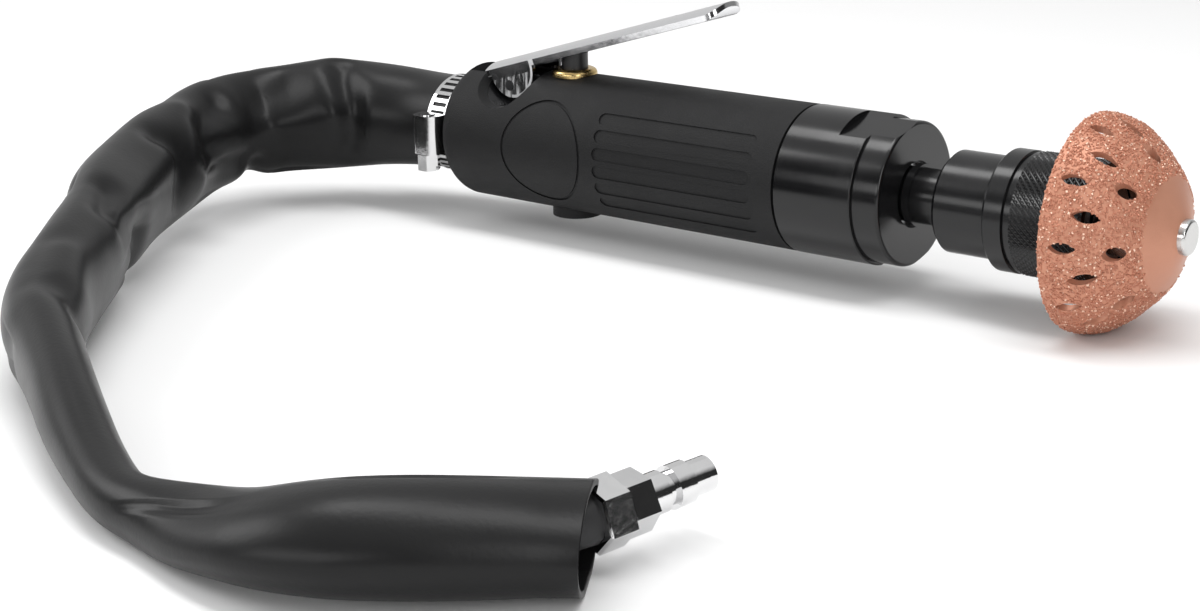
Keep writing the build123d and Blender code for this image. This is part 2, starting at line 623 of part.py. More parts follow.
# Vane motor
END_FLOAT = 0.15
with BuildPart() as rear_plate:
    ring(CHAMBER, REAR_PLATE_T, MOTOR_BORE_R - FIT, REAR_BEARING[0] + 1.2)
    rod(CHAMBER, REAR_BEARING_S - CHAMBER + REAR_BEARING[2] + FIT, REAR_BEARING[1] + FIT, Mode.SUBTRACT)
    with BuildSketch(station(CHAMBER)):
        for side in (0, 180):
            for turn in (-EXHAUST_ANGLE, EXHAUST_ANGLE):
                with PolarLocations(CYLINDER_BORE_R, 1, start_angle=side + turn):
                    Circle(EXHAUST_R * 0.7)
        with Locations((0, CYLINDER_BORE_R - FEED_R + RUN)):
            Circle(FEED_R)
    extrude(amount=REAR_PLATE_T, mode=Mode.SUBTRACT)
finish(rear_plate, "rear_end_plate")

with BuildPart() as cylinder:
    rod(CYLINDER, CYLINDER_LEN, MOTOR_BORE_R - FIT)
    with BuildSketch(station(CYLINDER)):
        with Locations((0, CYLINDER_OFFSET)):
            Circle(CYLINDER_BORE_R)
    extrude(amount=CYLINDER_LEN, mode=Mode.SUBTRACT)
finish(cylinder, "motor_cylinder")

with BuildPart() as front_plate:
    ring(FRONT_PLATE, FRONT_PLATE_T, MOTOR_BORE_R - FIT, FRONT_BEARING[0] + 0.6)
    rod(
        FRONT_BEARING_S - FIT, -GEAR_SPACER_T - FRONT_BEARING_S + FIT,
        FRONT_BEARING[1] + FIT, Mode.SUBTRACT,
    )
finish(front_plate, "front_end_plate")

VANE_TIP_R = ROTOR_R - RUN
ROTOR_FRONT = FRONT_PLATE - END_FLOAT
PINION = RING_FACE + 0.3
with BuildPart() as rotor:
    rod(CYLINDER + END_FLOAT, CYLINDER_LEN - 2 * END_FLOAT, ROTOR_R)
    with BuildSketch(station(CYLINDER)):
        with PolarLocations(VANE_TIP_R - VANE_DEPTH - RUN, VANE_COUNT):
            Rectangle(ROTOR_R, VANE_T + FIT, align=(Align.MIN, Align.CENTER))
    extrude(amount=CYLINDER_LEN, mode=Mode.SUBTRACT)
    rod(CHAMBER + FIT, REAR_PLATE_T + END_FLOAT - FIT, REAR_BEARING[0] - FIT)
    rod(ROTOR_FRONT, PINION - ROTOR_FRONT, FRONT_BEARING[0] - FIT)
    with BuildSketch(station(PINION)):
        add(tooth_face(SUN_TEETH, SUN_PITCH_R - DEDENDUM, SUN_PITCH_R + ADDENDUM, -BACKLASH), rotation=90)
    extrude(amount=RING_WIDTH - 0.6)
finish(rotor, "rotor")

with BuildPart() as vanes:
    with BuildSketch(station(CYLINDER + END_FLOAT)):
        with PolarLocations(VANE_TIP_R - VANE_DEPTH, VANE_COUNT):
            Rectangle(VANE_DEPTH, VANE_T - FIT, align=(Align.MIN, Align.CENTER))
    extrude(amount=CYLINDER_LEN - 2 * END_FLOAT)
finish(vanes, "rotor_vanes")

with BuildPart() as gear_spacer:
    ring(-GEAR_SPACER_T, GEAR_SPACER_T + RING_FACE, MOTOR_BORE_R - FIT, FRONT_BEARING[1] - 1.5)
finish(gear_spacer, "gear_spacer")

# Epicyclic gears: a sun tooth, a planet tooth and a ring space meet on each planet's line
with BuildPart() as ring_gear:
    ring(RING_FACE, RING_WIDTH, RING_OUTER_R, RING_PITCH_R - 2 * ADDENDUM)
    with BuildSketch(station(RING_FACE)):
        add(tooth_face(RING_TEETH, RING_PITCH_R - ADDENDUM, RING_PITCH_R + DEDENDUM, BACKLASH), rotation=90)
    extrude(amount=RING_WIDTH, mode=Mode.SUBTRACT)
finish(ring_gear, "ring_gear")

PLANET_FACE = tooth_face(
    PLANET_TEETH, PLANET_PITCH_R - DEDENDUM, PLANET_PITCH_R + ADDENDUM, -BACKLASH)
PLANET_START = RING_FACE + 0.4
PLANET_WIDTH = RING_WIDTH - 0.6
for number, angle in enumerate(PLANET_ANGLES, start=1):
    with BuildPart() as planet:
        with BuildSketch(station(PLANET_START)):
            with PolarLocations(PLANET_ORBIT_R, 1, start_angle=angle):
                add(PLANET_FACE)
                Circle(PLANET_PIN_R + RUN, mode=Mode.SUBTRACT)
        extrude(amount=PLANET_WIDTH)
    finish(planet, f"planet_gear_{number}")

with BuildPart() as planet_pins:
    with BuildSketch(station(PLANET_START)):
        with PolarLocations(PLANET_ORBIT_R, PLANET_COUNT, start_angle=PLANET_ANGLES[0]):
            Circle(PLANET_PIN_R)
    extrude(amount=CARRIER + CARRIER_T - PLANET_START)
finish(planet_pins, "planet_pins")

CARRIER_R = PLANET_ORBIT_R + PLANET_PIN_R + 2.4
with BuildPart() as spindle:
    SHAFT_R = SPINDLE_BEARING[0] - FIT
    turned([
        (CARRIER, 0), (CARRIER, CARRIER_R), (CARRIER + CARRIER_T, CARRIER_R),
        (CARRIER + CARRIER_T, SHAFT_R + 1.6), (BEARING_A, SHAFT_R + 1.6), (BEARING_A, SHAFT_R),
        (CHUCK, SHAFT_R), (CHUCK, SPINDLE_THREAD_R),
        (CHUCK + SPINDLE_THREAD_LEN, SPINDLE_THREAD_R), (CHUCK + SPINDLE_THREAD_LEN, 0),
    ])
    with BuildSketch(station(CARRIER)):
        with PolarLocations(PLANET_ORBIT_R, PLANET_COUNT, start_angle=PLANET_ANGLES[0]):
            Circle(PLANET_PIN_R + FIT)
    extrude(amount=CARRIER_T, mode=Mode.SUBTRACT)
finish(spindle, "spindle")

with BuildPart() as bearing_retainer:
    ring(BEARING_A - 1.0, 1.0, SPINDLE_BEARING[1], SPINDLE_BEARING[1] - 2.6)
finish(bearing_retainer, "bearing_retainer")

with BuildPart() as spindle_collar:
    COLLAR_R = SPINDLE_BEARING[0] + COLLAR_T
    RING_START = FRONT_FACE + 0.6
    turned([
        (FRONT_LIP, SPINDLE_BEARING[0]), (FRONT_LIP, COLLAR_R), (RING_START, COLLAR_R),
        (RING_START, COLLAR_RING_R), (RING_START + COLLAR_RING_T, COLLAR_RING_R),
        (RING_START + COLLAR_RING_T, COLLAR_R), (CHUCK, COLLAR_R), (CHUCK, SPINDLE_BEARING[0]),
    ])
finish(spindle_collar, "spindle_collar")

# Quick-change chuck: core, sliding sleeve, spring, three balls and a snap ring
SHANK_SOCKET = HEX_SHANK + 2 * RUN
SOCKET_DEPTH = CHUCK_FRONT - CHUCK - SPINDLE_THREAD_LEN - 7.0
GROOVE_FLOOR_R = CHUCK_CORE_R - 0.7
with BuildPart() as chuck_core:
    turned([
        (CHUCK, SPINDLE_THREAD_R + FIT), (CHUCK, CHUCK_REAR_R - 1.4), (CHUCK + 1.4, CHUCK_REAR_R),
        (CHUCK_SHOULDER, CHUCK_REAR_R), (CHUCK_SHOULDER, CHUCK_CORE_R),
        (SNAP_RING, CHUCK_CORE_R), (SNAP_RING, GROOVE_FLOOR_R),
        (SNAP_RING + SNAP_RING_T, GROOVE_FLOOR_R), (SNAP_RING + SNAP_RING_T, CHUCK_CORE_R),
        (CHUCK_FRONT, CHUCK_CORE_R), (CHUCK_FRONT, 0), (CHUCK + SPINDLE_THREAD_LEN + FIT, 0),
        (CHUCK + SPINDLE_THREAD_LEN + FIT, SPINDLE_THREAD_R + FIT),
    ])
    with BuildSketch(station(CHUCK_FRONT)):
        RegularPolygon(SHANK_SOCKET / 2, 6, major_radius=False, rotation=30)
    extrude(amount=-SOCKET_DEPTH, mode=Mode.SUBTRACT)
    for i in range(BALL_COUNT):
        turn = radians(90 + 360 * i / BALL_COUNT)
        outward = Vector(0, cos(turn), sin(turn))
        with BuildSketch(Plane((X_OFF + BALL, 0, AXIS_Z), x_dir=(1, 0, 0), z_dir=outward)):
            Circle(BALL_R + RUN)
        extrude(amount=2 * CHUCK_CORE_R, mode=Mode.SUBTRACT)
finish(chuck_core, "chuck_core")

LAND_R = CHUCK_CORE_R + RUN
RELIEF_R = LAND_R + BALL_LIFT + 2 * RUN
LIP_START = BALL + SLEEVE_TRAVEL + 3.4
LIP_END = SNAP_RING - GAP
COUNTERBORE_R = CHUCK_CORE_R - 0.65 + SNAP_RING_LIP + 2 * GAP
SLEEVE_FRONT = SNAP_RING + SNAP_RING_T + GAP
with BuildPart() as chuck_sleeve:
    collar_end = SLEEVE_REAR + SLEEVE_COLLAR_LEN
    turned([
        (SLEEVE_REAR, CHUCK_REAR_R + RUN), (SLEEVE_REAR, SLEEVE_COLLAR_R - 1.0),
        (SLEEVE_REAR + 1.0, SLEEVE_COLLAR_R), (collar_end - 0.4, SLEEVE_COLLAR_R),
        (collar_end, KNURL_R - 0.6), (collar_end + 0.6, KNURL_R - 0.6), (collar_end + 0.9, KNURL_R),
        (SLEEVE_FRONT - 0.8, KNURL_R), (SLEEVE_FRONT, KNURL_R - 0.8), (SLEEVE_FRONT, COUNTERBORE_R),
        (LIP_END, COUNTERBORE_R), (LIP_END, LAND_R), (LIP_START, LAND_R), (LIP_START, RELIEF_R),
        (BALL + SLEEVE_TRAVEL - 1.0, RELIEF_R), (BALL - 0.6, LAND_R), (SLEEVE_LAND, LAND_R),
        (SLEEVE_LAND, CHUCK_REAR_R + RUN),
    ])
finish(chuck_sleeve, "chuck_sleeve")

CHUCK_SPRING_R = (CHUCK_CORE_R + CHUCK_REAR_R + RUN) / 2
CHUCK_SPRING_LEN = SLEEVE_LAND - CHUCK_SHOULDER - CHUCK_SPRING_WIRE - 2 * FIT
with BuildPart() as chuck_spring:
    with BuildLine() as chuck_coil:
        Helix(
            pitch=CHUCK_SPRING_LEN / CHUCK_SPRING_TURNS, height=CHUCK_SPRING_LEN,
            radius=CHUCK_SPRING_R, direction=(1, 0, 0),
            center=(X_OFF + CHUCK_SHOULDER + CHUCK_SPRING_WIRE / 2 + FIT, 0, AXIS_Z),
        )
    with BuildSketch(Plane(origin=chuck_coil.line @ 0, z_dir=chuck_coil.line % 0)):
        Circle(CHUCK_SPRING_WIRE / 2)
    sweep(path=chuck_coil.line, is_frenet=True)
finish(chuck_spring, "chuck_spring")

BALL_ORBIT_R = CHUCK_CORE_R - BALL_R
for number in range(1, BALL_COUNT + 1):
    turn = radians(90 + 360 * (number - 1) / BALL_COUNT)
    with BuildPart() as chuck_ball:
        with Locations((X_OFF + BALL, BALL_ORBIT_R * cos(turn), AXIS_Z + BALL_ORBIT_R * sin(turn))):
            Sphere(BALL_R)
    finish(chuck_ball, f"chuck_ball_{number}")

with BuildPart() as snap_ring:
    ring(SNAP_RING + FIT, SNAP_RING_T - 2 * FIT, GROOVE_FLOOR_R + FIT + SNAP_RING_LIP, GROOVE_FLOOR_R + FIT)
finish(snap_ring, "chuck_snap_ring")

# Rasp cup on its hex shank
CROWN_R = (
    (RASP_SHOULDER_AHEAD - RASP_CROWN_AHEAD)**2 + RASP_SHOULDER_DROP**2) / (2 * RASP_SHOULDER_DROP)
SHOULDER_SIN = (RASP_SHOULDER_AHEAD - RASP_CROWN_AHEAD) / CROWN_R
SHOULDER_COS = 1 - RASP_SHOULDER_DROP / CROWN_R
RIM_DROP = CROWN_R - sqrt(CROWN_R**2 - RASP_CROWN_AHEAD**2)
EDGE_SIN = 0.81          # slope of the dome where the bare nose starts
EDGE_COS = 0.586


def dome_outline(inset):
    """Half section of the rasp's dome, drawn in square to its outside by inset."""
    shoulder = (
        RIM + RASP_SHOULDER_AHEAD - SHOULDER_SIN * inset,
        RASP_R - RASP_SHOULDER_DROP - SHOULDER_COS * inset,
    )
    edge = (NOSE_EDGE - EDGE_SIN * inset, RASP_NOSE_R - EDGE_COS * inset)
    with BuildSketch(PROFILE) as half:
        with BuildLine():
            crown = ThreePointArc(
                (RIM, RASP_R - RIM_DROP - inset), (RIM + RASP_CROWN_AHEAD, RASP_R - inset), shoulder)
            TangentArc(shoulder, edge, tangent=crown % 1)
            Polyline(
                edge, (NOSE - inset, RIVET_R), (NOSE - inset, 0), (RIM, 0),
                (RIM, RASP_R - RIM_DROP - inset),
            )
        make_face()
    return half.sketch


with BuildPart() as rasp_cup:
    revolve(dome_outline(0), axis=TOOL_AXIS)
    revolve(dome_outline(RASP_WALL), axis=TOOL_AXIS, mode=Mode.SUBTRACT)
    rod(NOSE_EDGE, RASP_NOSE_LEN + 1, RASP_EYE_R + FIT, Mode.SUBTRACT)
    for count, (ahead, phase, long, wide) in zip(RASP_ROW_COUNTS, RASP_ROWS):
        for i in range(count):
            turn = radians(phase + 360 * i / count)
            outward = Vector(0, cos(turn), sin(turn))
            with BuildSketch(Plane((X_OFF + RIM + ahead, 0, AXIS_Z), x_dir=(1, 0, 0), z_dir=outward)):
                with BuildLine():
                    ThreePointArc((-long / 2, 0), (0, wide / 2), (long / 2, 0))
                    ThreePointArc((long / 2, 0), (0, -wide / 2), (-long / 2, 0))
                make_face()
            extrude(amount=2 * RASP_R, mode=Mode.SUBTRACT)
finish(rasp_cup, "rasp_cup")

SHANK_REAR = CHUCK_FRONT - SOCKET_DEPTH + 1.0
SHANK_SHOULDER = NOSE - RASP_WALL - BACKING_T
with BuildPart() as shank:
    with BuildSketch(station(SHANK_REAR)):
        RegularPolygon(HEX_SHANK / 2, 6, major_radius=False, rotation=30)
    extrude(amount=CHUCK_FRONT + 1.5 - SHANK_REAR)
    rod(CHUCK_FRONT + 1.5, SHANK_SHOULDER - CHUCK_FRONT - 1.5, SHANK_SHOULDER_R)
    rod(SHANK_SHOULDER, BACKING_T + RASP_WALL - FIT, RASP_EYE_R)
    rod(SHANK_SHOULDER - 6, 6 + BACKING_T + RASP_WALL, RIVET_STEM_R + FIT, Mode.SUBTRACT)
    with BuildSketch(PROFILE):
        with Locations((BALL, BALL_ORBIT_R)):
            Circle(BALL_R + RUN)
    revolve(axis=TOOL_AXIS, mode=Mode.SUBTRACT)
finish(shank, "rasp_shank")

NOSE_SLOPE = (RASP_NOSE_R - EDGE_COS * RASP_WALL - RIVET_R) / (
    RASP_NOSE_LEN - (1 - EDGE_SIN) * RASP_WALL)
with BuildPart() as backing:
    front = SHANK_SHOULDER + BACKING_T - FIT
    turned([
        (SHANK_SHOULDER, RASP_EYE_R + FIT), (front, RASP_EYE_R + FIT), (front, RIVET_R - FIT),
        (SHANK_SHOULDER, RIVET_R + BACKING_T * NOSE_SLOPE - 4 * FIT),
    ])
finish(backing, "rasp_washer")

with BuildPart() as rivet:
    rod(SHANK_SHOULDER - 6 + FIT, NOSE - SHANK_SHOULDER + 6 - FIT, RIVET_STEM_R)
    rod(NOSE, NOSE_END - NOSE, RIVET_R)
    fillet(rivet.edges().group_by(Axis.X)[-1], 1.0)
finish(rivet, "rasp_rivet")

# Hose clamp round the sleeve's end
SLEEVE_OUTER_R = SPIGOT_R + FIT + SLEEVE_WALL
BAND_R = SLEEVE_OUTER_R + FIT
BOX_Y = -(BAND_R + BAND_T + FIT + CLAMP_BOX[1] / 2)
with BuildPart() as clamp_band:
    ring(BAND - BAND_WIDTH / 2, BAND_WIDTH, BAND_R + BAND_T, BAND_R)
finish(clamp_band, "clamp_band")

with BuildPart() as clamp_housing:
    with Locations((X_OFF + BAND, BOX_Y, AXIS_Z)):
        Box(*CLAMP_BOX)
        fillet(clamp_housing.edges().filter_by(Axis.Z).sort_by(Axis.Y)[:2], CLAMP_BOX[1] * 0.45)
    with BuildSketch(level(BAND, AXIS_Z - CLAMP_BOX[2], BOX_Y)):
        Circle(CLAMP_SCREW_R + GAP)
    extrude(amount=2 * CLAMP_BOX[2], mode=Mode.SUBTRACT)
finish(clamp_housing, "clamp_housing")

with BuildPart() as clamp_screw:
    with BuildSketch(level(BAND, AXIS_Z - CLAMP_BOX[2] / 2 - GAP, BOX_Y)):
        Circle(CLAMP_SCREW_R)
    extrude(amount=CLAMP_BOX[2] + 2 * GAP)
    with BuildSketch(level(BAND, AXIS_Z - CLAMP_BOX[2] / 2 - GAP, BOX_Y)):
        RegularPolygon(CLAMP_HEAD_HEX / 2, 6, major_radius=False)
    extrude(amount=-CLAMP_HEAD_T)
    with BuildSketch(level(BAND, AXIS_Z - CLAMP_BOX[2] / 2 - GAP - CLAMP_HEAD_T, BOX_Y)):
        Rectangle(CLAMP_HEAD_HEX * 1.3, 1.2)
    extrude(amount=1.6, mode=Mode.SUBTRACT)
finish(clamp_screw, "clamp_screw")

# Inlet nipple, air hose and exhaust sleeve
with BuildPart() as nipple:
    rod(SPIGOT_REAR, INLET_THREAD_LEN, INLET_THREAD_R - FIT)
    with BuildSketch(station(NIPPLE_FACE)):
        RegularPolygon(NIPPLE_HEX / 2, 6, major_radius=False)
    extrude(amount=NIPPLE_HEX_T)
    rod(BARB_END, BARB_LEN, HOSE_BORE_R - FIT)
    rod(BARB_END, INLET_THREAD_LEN + NIPPLE_HEX_T + BARB_LEN, HOSE_BORE_R - 1.2, Mode.SUBTRACT)
finish(nipple, "inlet_nipple")

# Routes on the bench: (station, y, z) of the sleeve's centre line, then the hose's
FLOOR_Z = SLEEVE_OUTER_R
SLEEVE_START = GRIP_REAR - BAND_SETBACK + 0.5
SLEEVE_ROUTE = [
    (SLEEVE_START, 0, AXIS_Z), (-164, 0, AXIS_Z), (-188, -4, 26), (-207, -17, 19),
    (-217, -36, FLOOR_Z), (-218, -60, FLOOR_Z), (-206, -86, FLOOR_Z), (-172, -136, FLOOR_Z),
    (-143, -175, FLOOR_Z), (-110, -210, FLOOR_Z), (-71, -241, FLOOR_Z), (-33, -262, FLOOR_Z),
    (2, -272, FLOOR_Z), (33, -263, FLOOR_Z), (50.5, -252.6, FLOOR_Z), (65.5, -240.6, FLOOR_Z),
]
HOSE_Z = SLEEVE_WALL + HOSE_R + 1.6
HOSE_ROUTE = [
    (NIPPLE_FACE, 0, AXIS_Z), (-178, 0, AXIS_Z), (-193, -6, 26.5), (-208, -17.5, 18.5),
    (-217, -36, 13), (-218, -60, 11), (-206, -86, HOSE_Z), (-172, -136, HOSE_Z),
    (-143, -175, HOSE_Z), (-110, -210, HOSE_Z), (-71, -241, HOSE_Z), (-33, -262, HOSE_Z),
    (2, -272, HOSE_Z), (33, -263, HOSE_Z), (49, -257, 10.6), (64.4, -249.1, 12.0),
    (77.7, -240.5, 11.6), (84.3, -231.7, 10.9), (86.6, -223, 11.6),
]


def route_points(route):
    return [Vector(X_OFF + s, y, z) for s, y, z in route]


def corner_radii(points):
    """Largest radius that each corner's runs allow."""
    radii = []
    for before, corner, after in zip(points, points[1:], points[2:]):
        into = corner - before
        out = after - corner
        turn = radians(into.get_angle(out))
        radii.append(0.45 * min(into.length, out.length) / tan(turn / 2))
    return radii


def tube(name, route, outer_r, bore_r):
    """Tube along a route of straight runs and tangent arcs."""
    points = route_points(route)
    radii = corner_radii(points)
    print(name, "corner radii", [round(r) for r in radii])
    with BuildPart() as hose:
        with BuildLine() as path:
            FilletPolyline(*points, radius=radii)
        with BuildSketch(Plane(origin=path.line @ 0, z_dir=path.line % 0)):
            Circle(outer_r)
            Circle(bore_r, mode=Mode.SUBTRACT)
        sweep(path=path.line)
    length = path.wires()[0].length
    share = hose.part.volume / (pi * (outer_r**2 - bore_r**2) * length)
    print(name, "length", round(length, 1), "volume share", round(share, 4))
    finish(hose, name)


tube("exhaust_sleeve", SLEEVE_ROUTE, SLEEVE_OUTER_R, SPIGOT_R + FIT)
tube("air_hose", HOSE_ROUTE, HOSE_R, HOSE_BORE_R)

with BuildPart() as ferrule:
    ring(NIPPLE_FACE - FERRULE_LEN, FERRULE_LEN - FIT, HOSE_R + FIT + FERRULE_WALL, HOSE_R + FIT)
finish(ferrule, "hose_ferrule")

# Hose-end nut and quick plug, in line with the hose's last run
hose_points = route_points(HOSE_ROUTE)
PLUG_LINE = (hose_points[-1] - hose_points[-2]).normalized()
PLUG_PLANE = Plane(origin=hose_points[-1], z_dir=PLUG_LINE)

with BuildPart() as nut:
    with BuildSketch(PLUG_PLANE):
        RegularPolygon(NUT_HEX / 2, 6, major_radius=False, rotation=15)
    extrude(amount=NUT_T)
    chamfer(nut.edges().filter_by(lambda e: e.length > NUT_T + 0.1), 0.6)
    with BuildSketch(PLUG_PLANE):
        Circle(HOSE_BORE_R)
    extrude(amount=NUT_T, mode=Mode.SUBTRACT)
finish(nut, "hose_end_nut")

with BuildPart() as plug:
    hex_plane = PLUG_PLANE.offset(NUT_T)
    with BuildSketch(hex_plane):
        RegularPolygon(PLUG_HEX / 2, 6, major_radius=False, rotation=5)
    extrude(amount=PLUG_HEX_T)
    with BuildSketch(PLUG_PLANE):
        Circle(HOSE_BORE_R - FIT)
    extrude(amount=NUT_T)
    reach = NUT_T + PLUG_HEX_T
    for length, radius in zip(PLUG_STEPS, (PLUG_COLLAR_R, PLUG_NECK_R, PLUG_HEAD_R, PLUG_TIP_R)):
        with BuildSketch(PLUG_PLANE.offset(reach)):
            Circle(radius)
        extrude(amount=length)
        reach += length
    with BuildSketch(PLUG_PLANE):
        Circle(PLUG_BORE_R)
    extrude(amount=reach, mode=Mode.SUBTRACT)
finish(plug, "air_plug")

plug_tip = hose_points[-1] + PLUG_LINE * reach
print("plug line", PLUG_LINE, "tip", plug_tip, "x offset", X_OFF)
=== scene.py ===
# %% [markdown]
# # An air tire buffer, dressed for its portrait
# The solid model of the tool arrives as a fixed frame. This lesson adds what solids
# can't carry: soft vinyl, grit, knurling, a slotted clamp band, smooth copies of the coil
# springs and finishes for every piece. All lengths are metres, in the same frame as the solids: +X
# runs along the spindle to the rasp, +Z is up, and the tool rests on a bench at z = 0.

# %% Load the frame
import math

import bmesh
import bpy
from mathutils import Matrix, Vector, noise


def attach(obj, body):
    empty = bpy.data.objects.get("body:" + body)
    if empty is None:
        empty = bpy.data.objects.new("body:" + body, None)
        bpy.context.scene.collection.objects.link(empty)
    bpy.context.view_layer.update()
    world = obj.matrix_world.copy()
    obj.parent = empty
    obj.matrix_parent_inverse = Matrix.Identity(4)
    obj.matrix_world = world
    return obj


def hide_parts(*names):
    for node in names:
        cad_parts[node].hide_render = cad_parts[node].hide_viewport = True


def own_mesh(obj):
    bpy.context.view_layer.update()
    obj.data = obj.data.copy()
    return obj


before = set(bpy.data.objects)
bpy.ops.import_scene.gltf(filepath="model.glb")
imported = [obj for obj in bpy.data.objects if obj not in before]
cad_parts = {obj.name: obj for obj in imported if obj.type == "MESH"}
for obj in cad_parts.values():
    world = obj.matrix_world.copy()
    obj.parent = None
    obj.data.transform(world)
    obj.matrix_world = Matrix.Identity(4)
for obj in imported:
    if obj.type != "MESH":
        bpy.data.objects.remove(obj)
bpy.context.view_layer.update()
scene = bpy.context.scene

# %% [markdown]
# ## Stations
# The tool's own drawing counts stations in millimetres from the joint between grip and
# front housing. One small helper turns a station, a sideways offset and a height into
# a point of the frame, so that the numbers below can be read against the drawing.

# %% A point from a station
STATION_ZERO = 21.925
AXIS_HEIGHT = 32.0


def at(station, across, height):
    return Vector((station + STATION_ZERO, across, height)) / 1000


print("rasp nose at", [round(x, 4) for x in at(126.15, 0, AXIS_HEIGHT)])

# %% [markdown]
# ## Camera
# The photograph looks at the tool from its front right, a little above the bench. The
# camera is set from the three directions that fit the photograph: its right, its up and
# the way back from the object to the lens.

# %% Place the camera
CAMERA_LENS = 66.085
CAMERA_PLACE = (0.389425, -0.5707, 0.1956)
camera_data = bpy.data.cameras.new("camera")
camera_data.lens = CAMERA_LENS
camera_data.sensor_width = 36.0
camera_data.clip_start = 0.01
camera = bpy.data.objects.new("camera", camera_data)
scene.collection.objects.link(camera)
facing = Matrix((  # columns: right, up, back
    (0.7851, -0.1683, 0.5961),
    (0.6192, 0.2363, -0.7488),
    (-0.0148, 0.9570, 0.2897),
))
camera.matrix_world = Matrix.Translation(CAMERA_PLACE) @ facing.to_4x4()
scene.camera = camera
scene.view_settings.view_transform = "Standard"
print("camera lens", camera_data.lens)

# %% [markdown]
# ## Node helpers
# Every material here is a small graph. Three helpers keep the graphs readable: one adds
# a node and fills its inputs with links or values, one does a sum with a Math node, and
# one opens a new shader group with named sockets, so that an effect is built once and
# used by many materials.

# %% Helpers for node graphs
def put(tree, kind, **inputs):
    node = tree.nodes.new(kind)
    for name, value in inputs.items():
        key = name.replace("_", " ")
        socket = node.inputs[key] if key in node.inputs else None
        if socket is None:
            setattr(node, name, value)
        elif isinstance(value, bpy.types.NodeSocket):
            tree.links.new(value, socket)
        else:
            socket.default_value = value
    return node


def calc(tree, operation, first, second=0.0, third=0.0):
    node = tree.nodes.new("ShaderNodeMath")
    node.operation = operation
    for socket, value in zip(node.inputs, (first, second, third)):
        if isinstance(value, bpy.types.NodeSocket):
            tree.links.new(value, socket)
        else:
            socket.default_value = value
    return node.outputs[0]


def new_group(name, inputs, outputs):
    group = bpy.data.node_groups.new(name, "ShaderNodeTree")
    for label, kind, value in inputs:
        socket = group.interface.new_socket(label, in_out="INPUT", socket_type=kind)
        socket.default_value = value
    for label, kind in outputs:
        group.interface.new_socket(label, in_out="OUTPUT", socket_type=kind)
    return group, group.nodes.new("NodeGroupInput"), group.nodes.new("NodeGroupOutput")


print("node helpers ready")

# %% [markdown]
# ## Shared effects
# Four effects come back on many pieces. Grain is the fine tooth of a moulded or blasted
# surface. Handling is the slow change of gloss where hands and oil have been. Turning
# marks are the fine rings that a lathe leaves round the tool's axis. Specks are painted
# glints: small points painted bright in the colour, in place of light off the grit.
# Each one is a group that puts out numbers which change over the surface, and the
# material decides what to do with them.

# %% Grain: a fine bump
FLOAT = "NodeSocketFloat"
grain, grain_in, grain_out = new_group(
    "moulded_grain", [("Size", FLOAT, 0.0005)], [("Height", FLOAT)])
grain_place = put(grain, "ShaderNodeTexCoord")
grain_scale = calc(grain, "DIVIDE", 1.0, grain_in.outputs["Size"])
grain_noise = put(grain, "ShaderNodeTexNoise", Vector=grain_place.outputs["Object"],
                  Scale=grain_scale, Detail=3.0, Roughness=0.5)
grain.links.new(grain_noise.outputs["Fac"], grain_out.inputs["Height"])
print("group", grain.name)

# %% Handling: slow changes of gloss
handling, handling_in, handling_out = new_group(
    "handling_gloss", [("Patch", FLOAT, 0.03), ("Low", FLOAT, 0.3), ("High", FLOAT, 0.5)],
    [("Roughness", FLOAT), ("Mask", FLOAT)])
handling_place = put(handling, "ShaderNodeTexCoord")
handling_scale = calc(handling, "DIVIDE", 1.0, handling_in.outputs["Patch"])
handling_noise = put(handling, "ShaderNodeTexNoise", Vector=handling_place.outputs["Object"],
                     Scale=handling_scale, Detail=4.0, Distortion=0.6)
handling_map = put(handling, "ShaderNodeMapRange", Value=handling_noise.outputs["Fac"],
                   From_Min=0.3, From_Max=0.7, To_Min=handling_in.outputs["Low"],
                   To_Max=handling_in.outputs["High"])
handling.links.new(handling_map.outputs["Result"], handling_out.inputs["Roughness"])
handling.links.new(handling_noise.outputs["Fac"], handling_out.inputs["Mask"])
print("group", handling.name)

# %% Turning marks: rings round the tool's axis
turning, turning_in, turning_out = new_group(
    "turning_marks", [("Pitch", FLOAT, 0.0003)], [("Height", FLOAT)])
turning_place = put(turning, "ShaderNodeTexCoord")
turning_split = put(turning, "ShaderNodeSeparateXYZ", Vector=turning_place.outputs["Object"])
turning_count = calc(turning, "DIVIDE", turning_split.outputs["X"], turning_in.outputs["Pitch"])
turning_noise = put(turning, "ShaderNodeTexNoise", noise_dimensions="1D", Scale=1.0, Detail=2.0)
turning.links.new(turning_count, turning_noise.inputs["W"])
turning.links.new(turning_noise.outputs["Fac"], turning_out.inputs["Height"])
print("group", turning.name)

# %% Specks: small points painted bright, as glints
SPECK_CORE = 0.42   # of a cell's size, round its middle
# painted glints: a share of small cells that are painted bright
glint_specks, specks_in, specks_out = new_group(
    "glint_specks", [("Size", FLOAT, 0.0008), ("Share", FLOAT, 0.3)], [("Bright", FLOAT)])
specks_place = put(glint_specks, "ShaderNodeTexCoord")
specks_scale = calc(glint_specks, "DIVIDE", 1.0, specks_in.outputs["Size"])
specks_cells = put(glint_specks, "ShaderNodeTexVoronoi", Vector=specks_place.outputs["Object"],
                   Scale=specks_scale)
specks_tone = put(glint_specks, "ShaderNodeSeparateColor", Color=specks_cells.outputs["Color"])
specks_bright = calc(glint_specks, "LESS_THAN", specks_tone.outputs[0], specks_in.outputs["Share"])
specks_core = calc(glint_specks, "LESS_THAN", specks_cells.outputs["Distance"], SPECK_CORE)
glint_specks.links.new(calc(glint_specks, "MULTIPLY", specks_bright, specks_core), specks_out.inputs["Bright"])
print("group", glint_specks.name)

# %% [markdown]
# ## Materials
# A material starts with one Principled shader. The helper makes it, places the groups
# that its finish needs, mixes two close tones of its colour by a slow mask, and feeds a
# bump. Numbers that are the same all over stay on the shader's own sockets. A Mix node
# lists the sockets of all its kinds, so its colour sockets are found by their number.

# %% A maker of finishes
MIX_SHARE, MIX_FIRST, MIX_SECOND, MIX_RESULT = 0, 6, 7, 2


